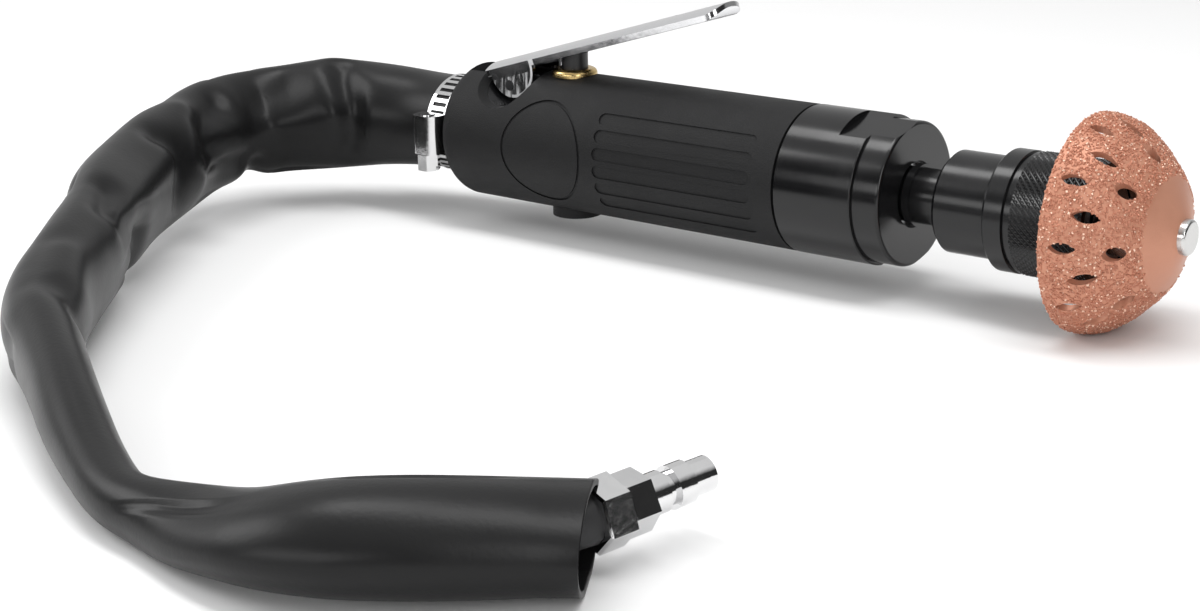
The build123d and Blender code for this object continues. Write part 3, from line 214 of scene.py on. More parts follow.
def use_group(tree, group, **inputs):
    node = tree.nodes.new("ShaderNodeGroup")
    node.node_tree = group
    for name, value in inputs.items():
        node.inputs[name].default_value = value
    return node


def finish_of(name, tone, second, metallic, gloss, patch, bump, depth, specular=0.5):
    """A material: two tones, (low, high) roughness, a patch size, a bump group and its depth."""
    material = bpy.data.materials.new(name)
    material.use_nodes = True
    tree = material.node_tree
    shader = tree.nodes["Principled BSDF"]
    shader.inputs["Metallic"].default_value = metallic
    shader.inputs["Specular IOR Level"].default_value = specular
    touched = use_group(tree, handling, Patch=patch, Low=gloss[0], High=gloss[1])
    tree.links.new(touched.outputs["Roughness"], shader.inputs["Roughness"])
    tones = put(tree, "ShaderNodeMix", data_type="RGBA")
    tones.inputs[MIX_FIRST].default_value = (*tone, 1)
    tones.inputs[MIX_SECOND].default_value = (*second, 1)
    tree.links.new(touched.outputs["Mask"], tones.inputs[MIX_SHARE])
    tree.links.new(tones.outputs[MIX_RESULT], shader.inputs["Base Color"])
    bump_group, bump_size = bump
    tooth = use_group(tree, bump_group, **bump_size)
    relief = put(tree, "ShaderNodeBump", Strength=1.0, Distance=depth)
    tree.links.new(tooth.outputs["Height"], relief.inputs["Height"])
    tree.links.new(relief.outputs["Normal"], shader.inputs["Normal"])
    return material


print("finish maker ready")

# %% [markdown]
# ## Finishes of the solids
# The grip is a soft black overmould with a fine tooth. The front housing and the chuck
# are turned steel, blacked and polished, with lathe marks that stretch the lights into
# streaks. Lever, plug and clamp are bright plate, the bush is brass, and the rasp is a
# copper-coloured braze that holds carbide grit.

# %% Black finishes
moulded_grip = finish_of(
    "moulded_grip", (0.009, 0.009, 0.0095), (0.014, 0.014, 0.0145), metallic=0.0, specular=0.22,
    gloss=(0.50, 0.64), patch=0.02, bump=(grain, {"Size": 0.00045}), depth=0.00014)
black_case = finish_of(
    "black_case", (0.004, 0.004, 0.0045), (0.006, 0.006, 0.0065), metallic=0.0, specular=0.45,
    gloss=(0.15, 0.23), patch=0.025, bump=(turning, {"Pitch": 0.0004}), depth=0.000008)
black_chuck = finish_of(
    "black_chuck", (0.004, 0.004, 0.0045), (0.007, 0.007, 0.0075), metallic=0.0, specular=0.45,
    gloss=(0.17, 0.26), patch=0.02, bump=(turning, {"Pitch": 0.0003}), depth=0.000008)
black_plastic = finish_of(
    "black_plastic", (0.012, 0.012, 0.013), (0.02, 0.02, 0.021), metallic=0.0,
    gloss=(0.30, 0.42), patch=0.006, bump=(grain, {"Size": 0.0003}), depth=0.00002)
seal_rubber = finish_of(
    "seal_rubber", (0.012, 0.012, 0.012), (0.02, 0.02, 0.02), metallic=0.0,
    gloss=(0.55, 0.7), patch=0.004, bump=(grain, {"Size": 0.0003}), depth=0.00003)
hose_rubber = finish_of(
    "hose_rubber", (0.016, 0.016, 0.017), (0.026, 0.026, 0.027), metallic=0.0,
    gloss=(0.5, 0.65), patch=0.01, bump=(grain, {"Size": 0.0006}), depth=0.00006)
print("black finishes from", moulded_grip.name, "to", hose_rubber.name)

# %% Bright finishes
lever_chrome = finish_of(
    "lever_chrome", (0.74, 0.74, 0.76), (0.84, 0.84, 0.85), metallic=1.0,
    gloss=(0.09, 0.17), patch=0.02, bump=(grain, {"Size": 0.012}), depth=0.00012)
plug_chrome = finish_of(
    "plug_chrome", (0.70, 0.70, 0.71), (0.82, 0.82, 0.82), metallic=1.0,
    gloss=(0.06, 0.13), patch=0.006, bump=(grain, {"Size": 0.0016}), depth=0.00003)
clamp_steel = finish_of(
    "clamp_steel", (0.64, 0.64, 0.65), (0.75, 0.75, 0.75), metallic=1.0,
    gloss=(0.08, 0.16), patch=0.008, bump=(grain, {"Size": 0.0012}), depth=0.00002)
zinc_rivet = finish_of(
    "zinc_rivet", (0.58, 0.58, 0.57), (0.72, 0.71, 0.70), metallic=1.0,
    gloss=(0.18, 0.30), patch=0.004, bump=(grain, {"Size": 0.0012}), depth=0.00004)
steel = finish_of(
    "ground_steel", (0.50, 0.50, 0.51), (0.60, 0.60, 0.61), metallic=1.0,
    gloss=(0.2, 0.32), patch=0.01, bump=(turning, {"Pitch": 0.0002}), depth=0.00001)
dark_steel = finish_of(
    "dark_steel", (0.10, 0.10, 0.105), (0.16, 0.16, 0.165), metallic=1.0,
    gloss=(0.28, 0.42), patch=0.01, bump=(turning, {"Pitch": 0.0003}), depth=0.00001)
spring_steel = finish_of(
    "spring_steel", (0.42, 0.42, 0.43), (0.52, 0.52, 0.53), metallic=1.0,
    gloss=(0.24, 0.36), patch=0.006, bump=(grain, {"Size": 0.0005}), depth=0.00001)
cast_iron = finish_of(
    "cast_iron", (0.16, 0.16, 0.165), (0.24, 0.24, 0.245), metallic=1.0,
    gloss=(0.4, 0.55), patch=0.008, bump=(grain, {"Size": 0.0005}), depth=0.00004)
housing_alloy = finish_of(
    "housing_alloy", (0.48, 0.48, 0.49), (0.58, 0.58, 0.59), metallic=1.0,
    gloss=(0.34, 0.48), patch=0.012, bump=(grain, {"Size": 0.0004}), depth=0.00003)
brass_fitting = finish_of(
    "brass_fitting", (0.60, 0.42, 0.17), (0.74, 0.55, 0.25), metallic=1.0,
    gloss=(0.16, 0.30), patch=0.006, bump=(grain, {"Size": 0.0008}), depth=0.00003)
vane_composite = finish_of(
    "vane_composite", (0.14, 0.09, 0.05), (0.2, 0.13, 0.08), metallic=0.0,
    gloss=(0.5, 0.65), patch=0.006, bump=(grain, {"Size": 0.0004}), depth=0.00003)
print("bright finishes from", lever_chrome.name, "to", vane_composite.name)

# %% [markdown]
# ## The lever's ears
# The two ears that hold the lever's pin stand in a black pocket, where plain plate would
# show only black. Streaks across them and a rim along their front edge are painted
# highlights: there the metal share of the plate falls, so that its pale colour shows as light.
# A shaded strip below the lever's edge stays clear. All distances count from the ears' own middle.

# %% Painted highlight streaks, and distances from the ears' middle
EAR_X, EAR_Z, EAR_RADIUS = -0.0951, 0.0553, 0.0094
EAR_RIM, EAR_SHADE = 0.0010, 0.0019
EAR_LEAN = math.radians(16.6)
# streaks of painted highlight on the ears
EAR_GLINT_STREAKS = (420.0, 0.0, 60.0)   # streaks per metre along X, and breaks along Z
EAR_GLINT_TURN = 0.3
EAR_FACING = 0.8   # of a normal's Y, on the ears' flat sides
EAR_GLINT_METAL_DROP = 0.85
lever_tree = lever_chrome.node_tree


def ear(operation, first, second=0.0):
    return calc(lever_tree, operation, first, second)


ear_place = put(lever_tree, "ShaderNodeTexCoord").outputs["Object"]
ear_stretch = put(lever_tree, "ShaderNodeMapping", Vector=ear_place, Scale=EAR_GLINT_STREAKS,
                  Rotation=(0.0, EAR_GLINT_TURN, 0.0))
ear_noise = put(lever_tree, "ShaderNodeTexNoise", Vector=ear_stretch.outputs["Vector"],
                Scale=1.0, Detail=2.0)
ear_glint_streak = put(lever_tree, "ShaderNodeMapRange", Value=ear_noise.outputs["Fac"],
                 From_Min=0.50, From_Max=0.60)
ear_spot = put(lever_tree, "ShaderNodeSeparateXYZ", Vector=ear_place)
ear_dx = ear("SUBTRACT", ear_spot.outputs["X"], EAR_X)
ear_dz = ear("SUBTRACT", ear_spot.outputs["Z"], EAR_Z)
ear_below = ear("SUBTRACT", ear("MULTIPLY", ear_dx, math.sin(EAR_LEAN)),
                ear("MULTIPLY", ear_dz, math.cos(EAR_LEAN)))
ear_reach = ear("SQRT", ear("ADD", ear("POWER", ear_dx, 2.0), ear("POWER", ear_dz, 2.0)))
print("ears' middle at", EAR_X, EAR_Z)

# %% Where highlights are painted on the plate
# painted highlights: lit streaks and a bright front rim on the ears' flat sides
ear_lit = ear("MULTIPLY", ear_glint_streak.outputs["Result"], ear("GREATER_THAN", ear_below, EAR_SHADE))
ear_rim_glint = ear("MULTIPLY", ear("GREATER_THAN", ear_dx, 0.0),
              ear("GREATER_THAN", ear_reach, EAR_RADIUS - EAR_RIM))
ear_facing = put(lever_tree, "ShaderNodeNewGeometry")
ear_turned = put(lever_tree, "ShaderNodeSeparateXYZ", Vector=ear_facing.outputs["Normal"])
ear_side = ear("GREATER_THAN", ear("ABSOLUTE", ear_turned.outputs["Y"]), EAR_FACING)
ear_inside = ear("LESS_THAN", ear_reach, EAR_RADIUS + EAR_RIM)
ear_painted_glints = ear("MULTIPLY", ear("MAXIMUM", ear_lit, ear_rim_glint), ear("MULTIPLY", ear_side, ear_inside))
# the metal share falls where the highlights are painted, so the pale base colour shows as light
ear_glint_metallic = ear("SUBTRACT", 1.0, ear("MULTIPLY", ear_painted_glints, EAR_GLINT_METAL_DROP))
lever_tree.links.new(ear_glint_metallic, lever_tree.nodes["Principled BSDF"].inputs["Metallic"])
print("streaks on", lever_chrome.name)

# %% [markdown]
# ## Rasp finish and handing out
# The cup under the grit wears a copper-coloured braze. Each solid then gets its finish
# from one list, and those that the list leaves out are plain ground steel.

# %% Copper braze
rasp_copper = finish_of(
    "rasp_copper", (0.52, 0.225, 0.140), (0.66, 0.32, 0.21), metallic=0.35,
    gloss=(0.38, 0.52), patch=0.01, bump=(grain, {"Size": 0.0006}), depth=0.00008)
print("rasp finish ready")

# %% Hand the finishes to the solids
wears = {
    moulded_grip: ["grip"],
    housing_alloy: ["gear_spacer", "rear_end_plate", "front_end_plate"],
    black_case: ["front_housing", "motor_housing"],
    black_chuck: ["chuck_core", "chuck_sleeve", "spindle_collar"],
    lever_chrome: ["throttle_lever"],
    dark_steel: ["lever_pin", "valve_cap", "chuck_snap_ring", "rasp_washer", "bearing_retainer"],
    black_plastic: ["valve_plunger"],
    seal_rubber: ["plunger_oring"],
    brass_fitting: ["valve_bush", "valve_poppet", "inlet_nipple", "hose_ferrule"],
    spring_steel: ["valve_spring", "chuck_spring"],
    cast_iron: ["motor_cylinder"],
    vane_composite: ["rotor_vanes"],
    rasp_copper: ["rasp_cup"],
    zinc_rivet: ["rasp_rivet"],
    clamp_steel: ["clamp_band", "clamp_housing", "clamp_screw"],
    plug_chrome: ["hose_end_nut", "air_plug"],
}
chosen = {node: material for material, names in wears.items() for node in names}
for name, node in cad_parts.items():
    node.data.materials.clear()
    node.data.materials.append(chosen.get(name, steel))
print("solids with a finish of their own:", len(chosen),
      "in plain steel:", len(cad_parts) - len(chosen))

# %% [markdown]
# ## Lines for the sleeve and the hose
# A cord's line is a NURBS spline through its route points. The order is set after the
# points, because set before it the spline stays at order 2, which is straight runs. The
# line is then read back as plain points from a curve with no bevel. The sleeve's width,
# thickness and roll go through the same kind of spline, so that each ring of the mesh
# finds its own three numbers at the same place along the route.

# %% Read a smooth line from route points
RINGS_PER_POINT = 24


def nurbs_curve(name, points, steps):
    curve = bpy.data.curves.new(name, "CURVE")
    curve.dimensions = "3D"
    spline = curve.splines.new("NURBS")
    spline.points.add(len(points) - 1)
    for point, place in zip(spline.points, points):
        point.co = (*place, 1.0)
    spline.order_u = 3
    spline.use_endpoint_u = True
    spline.resolution_u = steps
    return curve


def smooth_line(name, points):
    holder = bpy.data.objects.new(name, nurbs_curve(name, points, RINGS_PER_POINT))
    scene.collection.objects.link(holder)
    bpy.context.view_layer.update()
    line = bpy.data.meshes.new_from_object(holder)
    places = [v.co.copy() for v in line.vertices]
    bpy.data.objects.remove(holder)
    return places


def length_of(places):
    return sum((b - a).length for a, b in zip(places, places[1:]))


print("line helpers ready")

# %% [markdown]
# ## Exhaust sleeve
# The sleeve is a soft black vinyl tube that carries the air hose and leads the exhaust
# away. It is round where the clamp holds it, buckles at the bend behind the grip, stands
# on edge down the left side, is wrung thin where it twists, and lies flat towards its
# open mouth. A mesh tube follows the line, and each ring is an oval with its own width,
# thickness and roll.

# %% Route and section of the sleeve
# station, across, height, width, thickness, roll in degrees
sleeve_route = [
    (-140.2, 0, 32, 33, 33, 0),
    (-152, 0, 32, 33, 33, 40),
    (-175.9, -4.6, 32.5, 35.5, 30, 75),
    (-190.4, -12.4, 32.5, 38.5, 28, 80),
    (-201.2, -18.9, 32, 40, 27, 85),
    (-217.6, -29.3, 30, 39, 28, 82),
    (-224.3, -51.5, 28, 38, 28, 80),
    (-207.8, -87, 26, 38.5, 27, 80),
    (-187, -126.1, 23, 38, 26, 85),
    (-149.3, -170, 20, 36, 25, 88),
    (-116.1, -213.1, 17.5, 34, 24, 90),
    (-83.4, -232.8, 14.5, 28, 18, 90),
    (-55.6, -249.6, 12, 22, 17, 90),
    (-35.5, -260.6, 9.6, 17, 15.4, 90),
    (-16, -269.8, 7.7, 14.9, 14.9, 90),
    (-0.1, -272.1, 7.6, 15.2, 14.9, 150),
    (21.8, -271.2, 8.8, 29.5, 16.2, 176),
    (47.4, -269.1, 12.6, 36, 25, 180),
    (64.8, -259.6, 13.7, 35, 27, 180),
    (80.2, -245.2, 13, 35, 25.8, 180),
    (89.1, -235.3, 12.2, 36, 24.2, 180),
    (93.5, -231.2, 11.9, 37, 23.6, 180),
]
sleeve_path = smooth_line("sleeve_line", [at(*row[:3]) for row in sleeve_route])
sleeve_sections = smooth_line("sleeve_sections", [row[3:] for row in sleeve_route])
sleeve_length = length_of(sleeve_path)
print("sleeve length", round(sleeve_length, 4), "rings", len(sleeve_path))

# %% [markdown]
# ## Buckles
# Vinyl that is bent round a corner can't shorten its inner side, so it buckles there, and
# the outer side breaks into flat facets. Each fold below is a line drawn on the sleeve:
# its half width and its depth in millimetres, then its points, each a place along the
# route, counted in route points, and an angle round the ring. Folds with a negative
# depth are ridges. The folds were traced from the photograph.

# %% Folds of the sleeve
folds = [
    # crease ahead of the clamp, and the ridge that runs back from it
    (5.0, 3.4, [(2.80, 30), (2.58, 57), (2.38, 87), (2.38, 114), (2.50, 132)]),
    (9.0, -1.2, [(1.67, 60), (1.70, 95)]),
    (6.5, -2.2, [(2.90, 88), (3.42, 90), (4.25, 96), (5.42, 99), (6.25, 93)]),
    (7.0, 2.0, [(4.20, 50), (4.70, 58)]),
    (6.0, -1.4, [(3.00, 20), (3.17, 60)]),
    # round boss with a valley behind it
    (6.0, 3.0, [(6.00, 50), (6.33, 56), (6.54, 69), (6.54, 90), (6.25, 111), (5.67, 126)]),
    (9.0, -1.6, [(5.70, 62), (5.95, 78)]),
    (5.5, 3.0, [(5.20, 143), (5.24, 185)]),
    (7.0, -1.6, [(6.55, 42), (6.67, 54), (6.92, 78), (6.83, 108)]),
    # second buckle and its ridge
    (6.0, 2.8, [(7.25, 42), (7.12, 66), (7.17, 87), (7.25, 108)]),
    (7.0, -2.2, [(7.38, 63), (7.75, 69), (8.12, 69), (8.54, 72), (8.83, 66)]),
    (6.0, 2.8, [(8.50, 28), (8.79, 42), (8.80, 66), (8.42, 92)]),
    (6.0, 3.2, [(8.30, 104), (8.32, 150)]),
    # shallow dents down the left side
    (9.0, 1.6, [(9.50, 0), (9.88, 354), (10.12, 357), (10.21, 18)]),
    (8.0, 1.8, [(10.42, 63), (10.44, 110)]),
    (9.0, -1.2, [(9.60, 35), (9.90, 60)]),
    # flats between the corners of the outer side
    (14.0, 1.0, [(4.30, 350), (4.32, 280)]),
    (12.0, 1.0, [(6.40, 340), (6.42, 290)]),
    (18.0, 1.2, [(8.50, 320), (8.52, 275)]),
    # easy waves of the front run
    (14.0, 1.2, [(15.0, 60), (17.0, 80)]),
    (14.0, 1.0, [(17.5, 100), (19.5, 110)]),
]
print("folds", len(folds))

# %% [markdown]
# ## How deep the skin lies
# At a place on the skin, each fold that is near adds its depth, which falls off from the
# fold's line like a bell. The distance to that line is measured on the skin laid flat. A
# slow noise adds easy waves, which start from nothing at the clamp.

# %% Depth of the folds and waves
SKIN_MM_PER_DEGREE = 0.29
FOLD_REACH = 2            # route points past a fold's ends
WAVE_MM = 0.7
WAVES_PER_METRE = 24
WAVE_RUN_IN = 3           # route points from the clamp until the waves are full
rows_mm = [0.0]
for before, after in zip(sleeve_path, sleeve_path[1:]):
    rows_mm.append(rows_mm[-1] + 1000 * (after - before).length)


def clip(value):
    return min(max(value, 0), 1)


def distance_to(line, index, angle):
    """Millimetres on the sleeve's skin from a ring and an angle to a fold's line."""
    flat = []
    for along, turn in line:
        away = rows_mm[round(along * RINGS_PER_POINT)] - rows_mm[index]
        flat.append(Vector((away, ((turn - angle + 180) % 360 - 180) * SKIN_MM_PER_DEGREE)))
    nearest = math.inf
    for start, end in zip(flat, flat[1:]):
        run = end - start
        share = clip(-start.dot(run) / run.length_squared)
        nearest = min(nearest, (start + run * share).length)
    return nearest


def fold_at(index, angle):
    along = index / RINGS_PER_POINT
    total = 0.0
    for width, depth, line in folds:
        if line[0][0] - FOLD_REACH < along < line[-1][0] + FOLD_REACH:
            total += depth * math.exp(-(distance_to(line, index, angle) / width) ** 2)
    return total / 1000


def wave_at(spot, along):
    return WAVE_MM * noise.noise(spot * WAVES_PER_METRE) * min(along / WAVE_RUN_IN, 1) / 1000


print("sleeve run in millimetres", round(rows_mm[-1], 1))

# %% [markdown]
# ## The sleeve's skin
# Each ring is set square to the line on a level side and an upward side. Its points are
# an oval, flattened the more the further it is from round, then moved by the folds. The
# folds fade out under the clamp, the last rings lean to slant the mouth, and no point
# goes below the bench.

# %% One ring of the skin
AROUND = 80
MOUTH_SLANT, MOUTH_RINGS = 0.22, 30
FLATTENING = 0.3
CLAMPED, EASE_RUN = 0.35, 0.6   # route points without folds, and until they are full
FLOOR_GAP = 0.0006


def ring_frames(places):
    """For each point of a line, its tangent, its level side and its upward side."""
    frames = []
    for i, place in enumerate(places):
        ahead = places[min(i + 1, len(places) - 1)] - places[max(i - 1, 0)]
        along = ahead.normalized()
        side = along.cross(Vector((0, 0, 1))).normalized()
        frames.append((along, side, side.cross(along)))
    return frames


def sleeve_ring(index, place, section, axes):
    """Points of one ring: an oval with its width, thickness and roll, then its folds."""
    width, thick, roll = section.x / 2000, section.y / 2000, math.radians(section.z)
    ahead, side, up = axes
    along = index / RINGS_PER_POINT
    slant = MOUTH_SLANT * clip((index - len(sleeve_path)) / MOUTH_RINGS + 1)
    ease = clip((along - CLAMPED) / EASE_RUN)
    pinch = FLATTENING * (1 - thick / width)
    for k in range(AROUND):
        turn = 2 * math.pi * k / AROUND
        wide = width * math.cos(turn)
        tall = thick * math.sin(turn) * abs(math.sin(turn)) ** pinch
        out = side * (wide * math.cos(roll) - tall * math.sin(roll))
        out += up * (wide * math.sin(roll) + tall * math.cos(roll))
        spot = place + out - ahead * slant * out.dot(side)
        relief = wave_at(spot, along) - fold_at(index, math.degrees(turn))
        spot += out.normalized() * ease * relief
        spot.z = max(spot.z, FLOOR_GAP)
        yield spot


print("points round a ring", AROUND)

# %% Skin of the sleeve
def sleeve_skin():
    mesh = bmesh.new()
    rings = []
    for index, rest in enumerate(zip(sleeve_path, sleeve_sections, ring_frames(sleeve_path))):
        rings.append([mesh.verts.new(spot) for spot in sleeve_ring(index, *rest)])
    for first, second in zip(rings, rings[1:]):
        for k in range(AROUND):
            after = (k + 1) % AROUND
            mesh.faces.new((first[k], first[after], second[after], second[k]))
    bmesh.ops.recalc_face_normals(mesh, faces=mesh.faces)
    return mesh


sleeve_mesh = sleeve_skin()
print("sleeve faces", len(sleeve_mesh.faces))

# %% Turn the skin into the sleeve
VINYL_WALL = 0.0014
sleeve_vinyl = finish_of(
    "sleeve_vinyl", (0.007, 0.007, 0.0073), (0.010, 0.010, 0.0104), metallic=0.0, specular=0.23,
    gloss=(0.31, 0.40), patch=0.03, bump=(grain, {"Size": 0.0012}), depth=0.00004)
sleeve_data = bpy.data.meshes.new("vinyl_sleeve")
sleeve_mesh.to_mesh(sleeve_data)
sleeve_mesh.free()
sleeve_data.materials.append(sleeve_vinyl)
for face in sleeve_data.polygons:
    face.use_smooth = True
vinyl_sleeve = bpy.data.objects.new("vinyl_sleeve", sleeve_data)
scene.collection.objects.link(vinyl_sleeve)
wall = vinyl_sleeve.modifiers.new("wall", "SOLIDIFY")
wall.thickness = VINYL_WALL
wall.offset = -1
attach(vinyl_sleeve, "handle")
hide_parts("exhaust_sleeve")
print("sleeve dressed")

# %% [markdown]
# ## Air hose
# The rubber hose runs inside the sleeve from the inlet to the plug. Only its end shows,
# in the sleeve's mouth, but it is a real piece with a real length.

# %% Route and tube of the hose
hose_route = [
    (-156, 0, 32), (-178, -4.6, 31.5), (-190.4, -12.4, 31), (-201.2, -18.9, 30.5),
    (-217.6, -29.3, 28.5), (-224.3, -51.5, 26.5), (-207.8, -87, 24.5), (-187, -126.1, 21.5),
    (-149.3, -170, 18.5), (-116.1, -213.1, 16), (-83.4, -232.8, 13), (-55.6, -249.6, 10.5),
    (-35.5, -260.6, 8.1), (-16, -269.8, 7.6), (0.5, -272.1, 7.6), (23, -271, 8.4), (47, -267, 9.4),
    (63, -258, 10.4), (76, -247, 11.2), (83.5, -235, 11.4), (86.6, -223, 11.6),
]
HOSE_RADIUS, HOSE_STEPS = 0.006, 12
hose_points = [at(*point) for point in hose_route]
hose_length = length_of(smooth_line("hose_line", hose_points))
hose_curve = nurbs_curve("air_hose_tube", hose_points, HOSE_STEPS)
hose_curve.bevel_depth = HOSE_RADIUS
hose_curve.bevel_resolution = 6
hose_curve.materials.append(hose_rubber)
hose_tube = bpy.data.objects.new("air_hose_tube", hose_curve)
scene.collection.objects.link(hose_tube)
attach(hose_tube, "handle")
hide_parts("air_hose")
print("hose length", round(hose_length, 4))

# %% [markdown]
# ## Geometry Nodes for what repeats
# Grit, knurling and the slots of the clamp band repeat by the hundred, so each is a small
# node tree with named sizes. A helper opens a tree, and another one runs it on an object,
# keeps the result as a plain mesh and takes the modifier off again.

# %% Helpers for geometry trees
def geometry_tree(name, inputs):
    tree = bpy.data.node_groups.new(name, "GeometryNodeTree")
    tree.interface.new_socket("Geometry", in_out="INPUT", socket_type="NodeSocketGeometry")
    for label, kind, value in inputs:
        tree.interface.new_socket(label, in_out="INPUT", socket_type=kind).default_value = value
    tree.interface.new_socket("Geometry", in_out="OUTPUT", socket_type="NodeSocketGeometry")
    return tree, tree.nodes.new("NodeGroupInput"), tree.nodes.new("NodeGroupOutput")


def close_tree(tree, last, material, exit_node):
    """Realize Instances and Set Material, at the end of every tree."""
    whole = put(tree, "GeometryNodeRealizeInstances", Geometry=last)
    paint = put(tree, "GeometryNodeSetMaterial", Geometry=whole.outputs["Geometry"],
                Material=material)
    tree.links.new(paint.outputs["Geometry"], exit_node.inputs["Geometry"])


def grow(name, base, tree, **sizes):
    piece = bpy.data.objects.new(name, base)
    scene.collection.objects.link(piece)
    modifier = piece.modifiers.new("tree", "NODES")
    modifier.node_group = tree
    for item in tree.interface.items_tree:
        if item.in_out == "INPUT" and item.name in sizes:
            modifier[item.identifier] = sizes[item.name]
    bpy.context.view_layer.update()
    graph = bpy.context.evaluated_depsgraph_get()
    result = bpy.data.meshes.new_from_object(piece.evaluated_get(graph))
    piece.modifiers.clear()
    piece.data = result
    return piece


print("geometry helpers ready")

# %% [markdown]
# ## Grit on the rasp
# Carbide grains are brazed on the cup's outside, from the rim to the bare nose. The tree
# scatters points over that face and sets a small faceted grain on each, turned and sized
# at random from a fixed seed. The face itself is taken from a merged copy of the cup.

# %% The face that carries the grit
GRIT_FROM, GRIT_TO = 94.6, 118.9   # stations
GRIT_FACING = 0.2                  # of a face's normal, away from the axis
MERGE_DISTANCE = 1e-6


def gritted_face():
    mesh = bmesh.new()
    mesh.from_mesh(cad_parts["rasp_cup"].data)
    bmesh.ops.remove_doubles(mesh, verts=mesh.verts, dist=MERGE_DISTANCE)
    bare = []
    for face in mesh.faces:
        middle = face.calc_center_median()
        outward = Vector((0, middle.y, middle.z - AXIS_HEIGHT / 1000)).normalized()
        station = middle.x * 1000 - STATION_ZERO
        if face.normal.dot(outward) < GRIT_FACING or not GRIT_FROM < station < GRIT_TO:
            bare.append(face)
    bmesh.ops.delete(mesh, geom=bare, context="FACES")
    face_mesh = bpy.data.meshes.new("rasp_grit")
    mesh.to_mesh(face_mesh)
    mesh.free()
    return face_mesh


grit_face = gritted_face()
print("gritted area in square millimetres", round(sum(f.area for f in grit_face.polygons) * 1e6))

# %% Finish of the grains
grit_copper = finish_of(
    "grit_copper", (0.42, 0.165, 0.100), (0.66, 0.31, 0.205), metallic=0.5,
    gloss=(0.30, 0.5), patch=0.003, bump=(grain, {"Size": 0.0004}), depth=0.00004)
grit_tree = grit_copper.node_tree
# Painted glints: a share of small points on the grains takes a bright colour in place of light off
# their facets.
glint = use_group(grit_tree, glint_specks, Size=0.0009, Share=0.30)
grit_shader = grit_tree.nodes["Principled BSDF"]
grit_tone = grit_shader.inputs["Base Color"].links[0].from_socket
glint_mix = put(grit_tree, "ShaderNodeMix", data_type="RGBA")
grit_tree.links.new(glint.outputs["Bright"], glint_mix.inputs[MIX_SHARE])
grit_tree.links.new(grit_tone, glint_mix.inputs[MIX_FIRST])
# colour of the painted glints
glint_mix.inputs[MIX_SECOND].default_value = (0.95, 0.70, 0.55, 1)
grit_tree.links.new(glint_mix.outputs[MIX_RESULT], grit_shader.inputs["Base Color"])
print("grit finish ready")

# %% Scatter the grains
FULL_TURN = 6.28
SMALLEST_GRAIN, LARGEST_GRAIN = (0.55, 0.55, 0.45), (1.25, 1.15, 1.0)   # of the grain's size
VECTOR_LOW, VECTOR_HIGH = 0, 1    # sockets of a random vector
grit_nodes, grit_in, grit_out = geometry_tree("grit", [
    ("Grain", FLOAT, 0.0005), ("Density", FLOAT, 1.5e6), ("Seed", "NodeSocketInt", 7)])
scatter = put(grit_nodes, "GeometryNodeDistributePointsOnFaces", Mesh=grit_in.outputs["Geometry"],
              Density=grit_in.outputs["Density"], Seed=grit_in.outputs["Seed"])
one_grain = put(grit_nodes, "GeometryNodeMeshIcoSphere", Radius=grit_in.outputs["Grain"],
                Subdivisions=1)
any_turn = put(grit_nodes, "FunctionNodeRandomValue", data_type="FLOAT_VECTOR")
any_turn.inputs[VECTOR_HIGH].default_value = (FULL_TURN, FULL_TURN, FULL_TURN)
any_size = put(grit_nodes, "FunctionNodeRandomValue", data_type="FLOAT_VECTOR")
any_size.inputs[VECTOR_LOW].default_value = SMALLEST_GRAIN
any_size.inputs[VECTOR_HIGH].default_value = LARGEST_GRAIN
set_grains = put(grit_nodes, "GeometryNodeInstanceOnPoints", Points=scatter.outputs["Points"],
                 Instance=one_grain.outputs["Mesh"], Rotation=any_turn.outputs[0],
                 Scale=any_size.outputs[0])
close_tree(grit_nodes, set_grains.outputs["Instances"], grit_copper, grit_out)
rasp_grit = grow("rasp_grit", grit_face, grit_nodes, Grain=0.00052, Density=1.5e6, Seed=7)
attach(rasp_grit, "spindle")
print("grit faces", len(rasp_grit.data.polygons))

# %% [markdown]
# ## Wrapping a grid round the tool
# The knurl and the clamp band are both a flat grid rolled round an axis. This part of the
# tree is shared: it turns a vertex's place on the grid into an angle and a station, and
# joins the seam where the grid's two ends meet.

# %% A grid rolled round the axis
SEAM = 0.00002


def rolled_grid(tree, sizes, lift=None):
    """A flat grid and its rolled places, raised by lift of column and row, if there is one."""
    around, rows, start = sizes["Around"], sizes["Rows"], sizes["Start"]
    span, out = sizes["Span"], sizes["Radius"]
    grid = put(tree, "GeometryNodeMeshGrid", Size_X=1.0, Size_Y=1.0)
    tree.links.new(calc(tree, "ADD", around, 1.0), grid.inputs["Vertices X"])
    tree.links.new(calc(tree, "ADD", rows, 1.0), grid.inputs["Vertices Y"])
    place = put(tree, "GeometryNodeInputPosition")
    split = put(tree, "ShaderNodeSeparateXYZ", Vector=place.outputs["Position"])
    across = calc(tree, "ADD", split.outputs["X"], 0.5)
    down = calc(tree, "ADD", split.outputs["Y"], 0.5)
    turn = calc(tree, "MULTIPLY", across, 2 * math.pi)
    if lift is not None:
        column = calc(tree, "ROUND", calc(tree, "MULTIPLY", across, around))
        row = calc(tree, "ROUND", calc(tree, "MULTIPLY", down, rows))
        out = calc(tree, "ADD", out, lift(column, row))
    roll = put(tree, "ShaderNodeCombineXYZ")
    tree.links.new(calc(tree, "MULTIPLY_ADD", down, span, start), roll.inputs["X"])
    tree.links.new(calc(tree, "MULTIPLY", calc(tree, "COSINE", turn), out), roll.inputs["Y"])
    tree.links.new(calc(tree, "MULTIPLY_ADD", calc(tree, "SINE", turn), out, AXIS_HEIGHT / 1000),
                   roll.inputs["Z"])
    return grid.outputs["Mesh"], roll.outputs["Vector"]


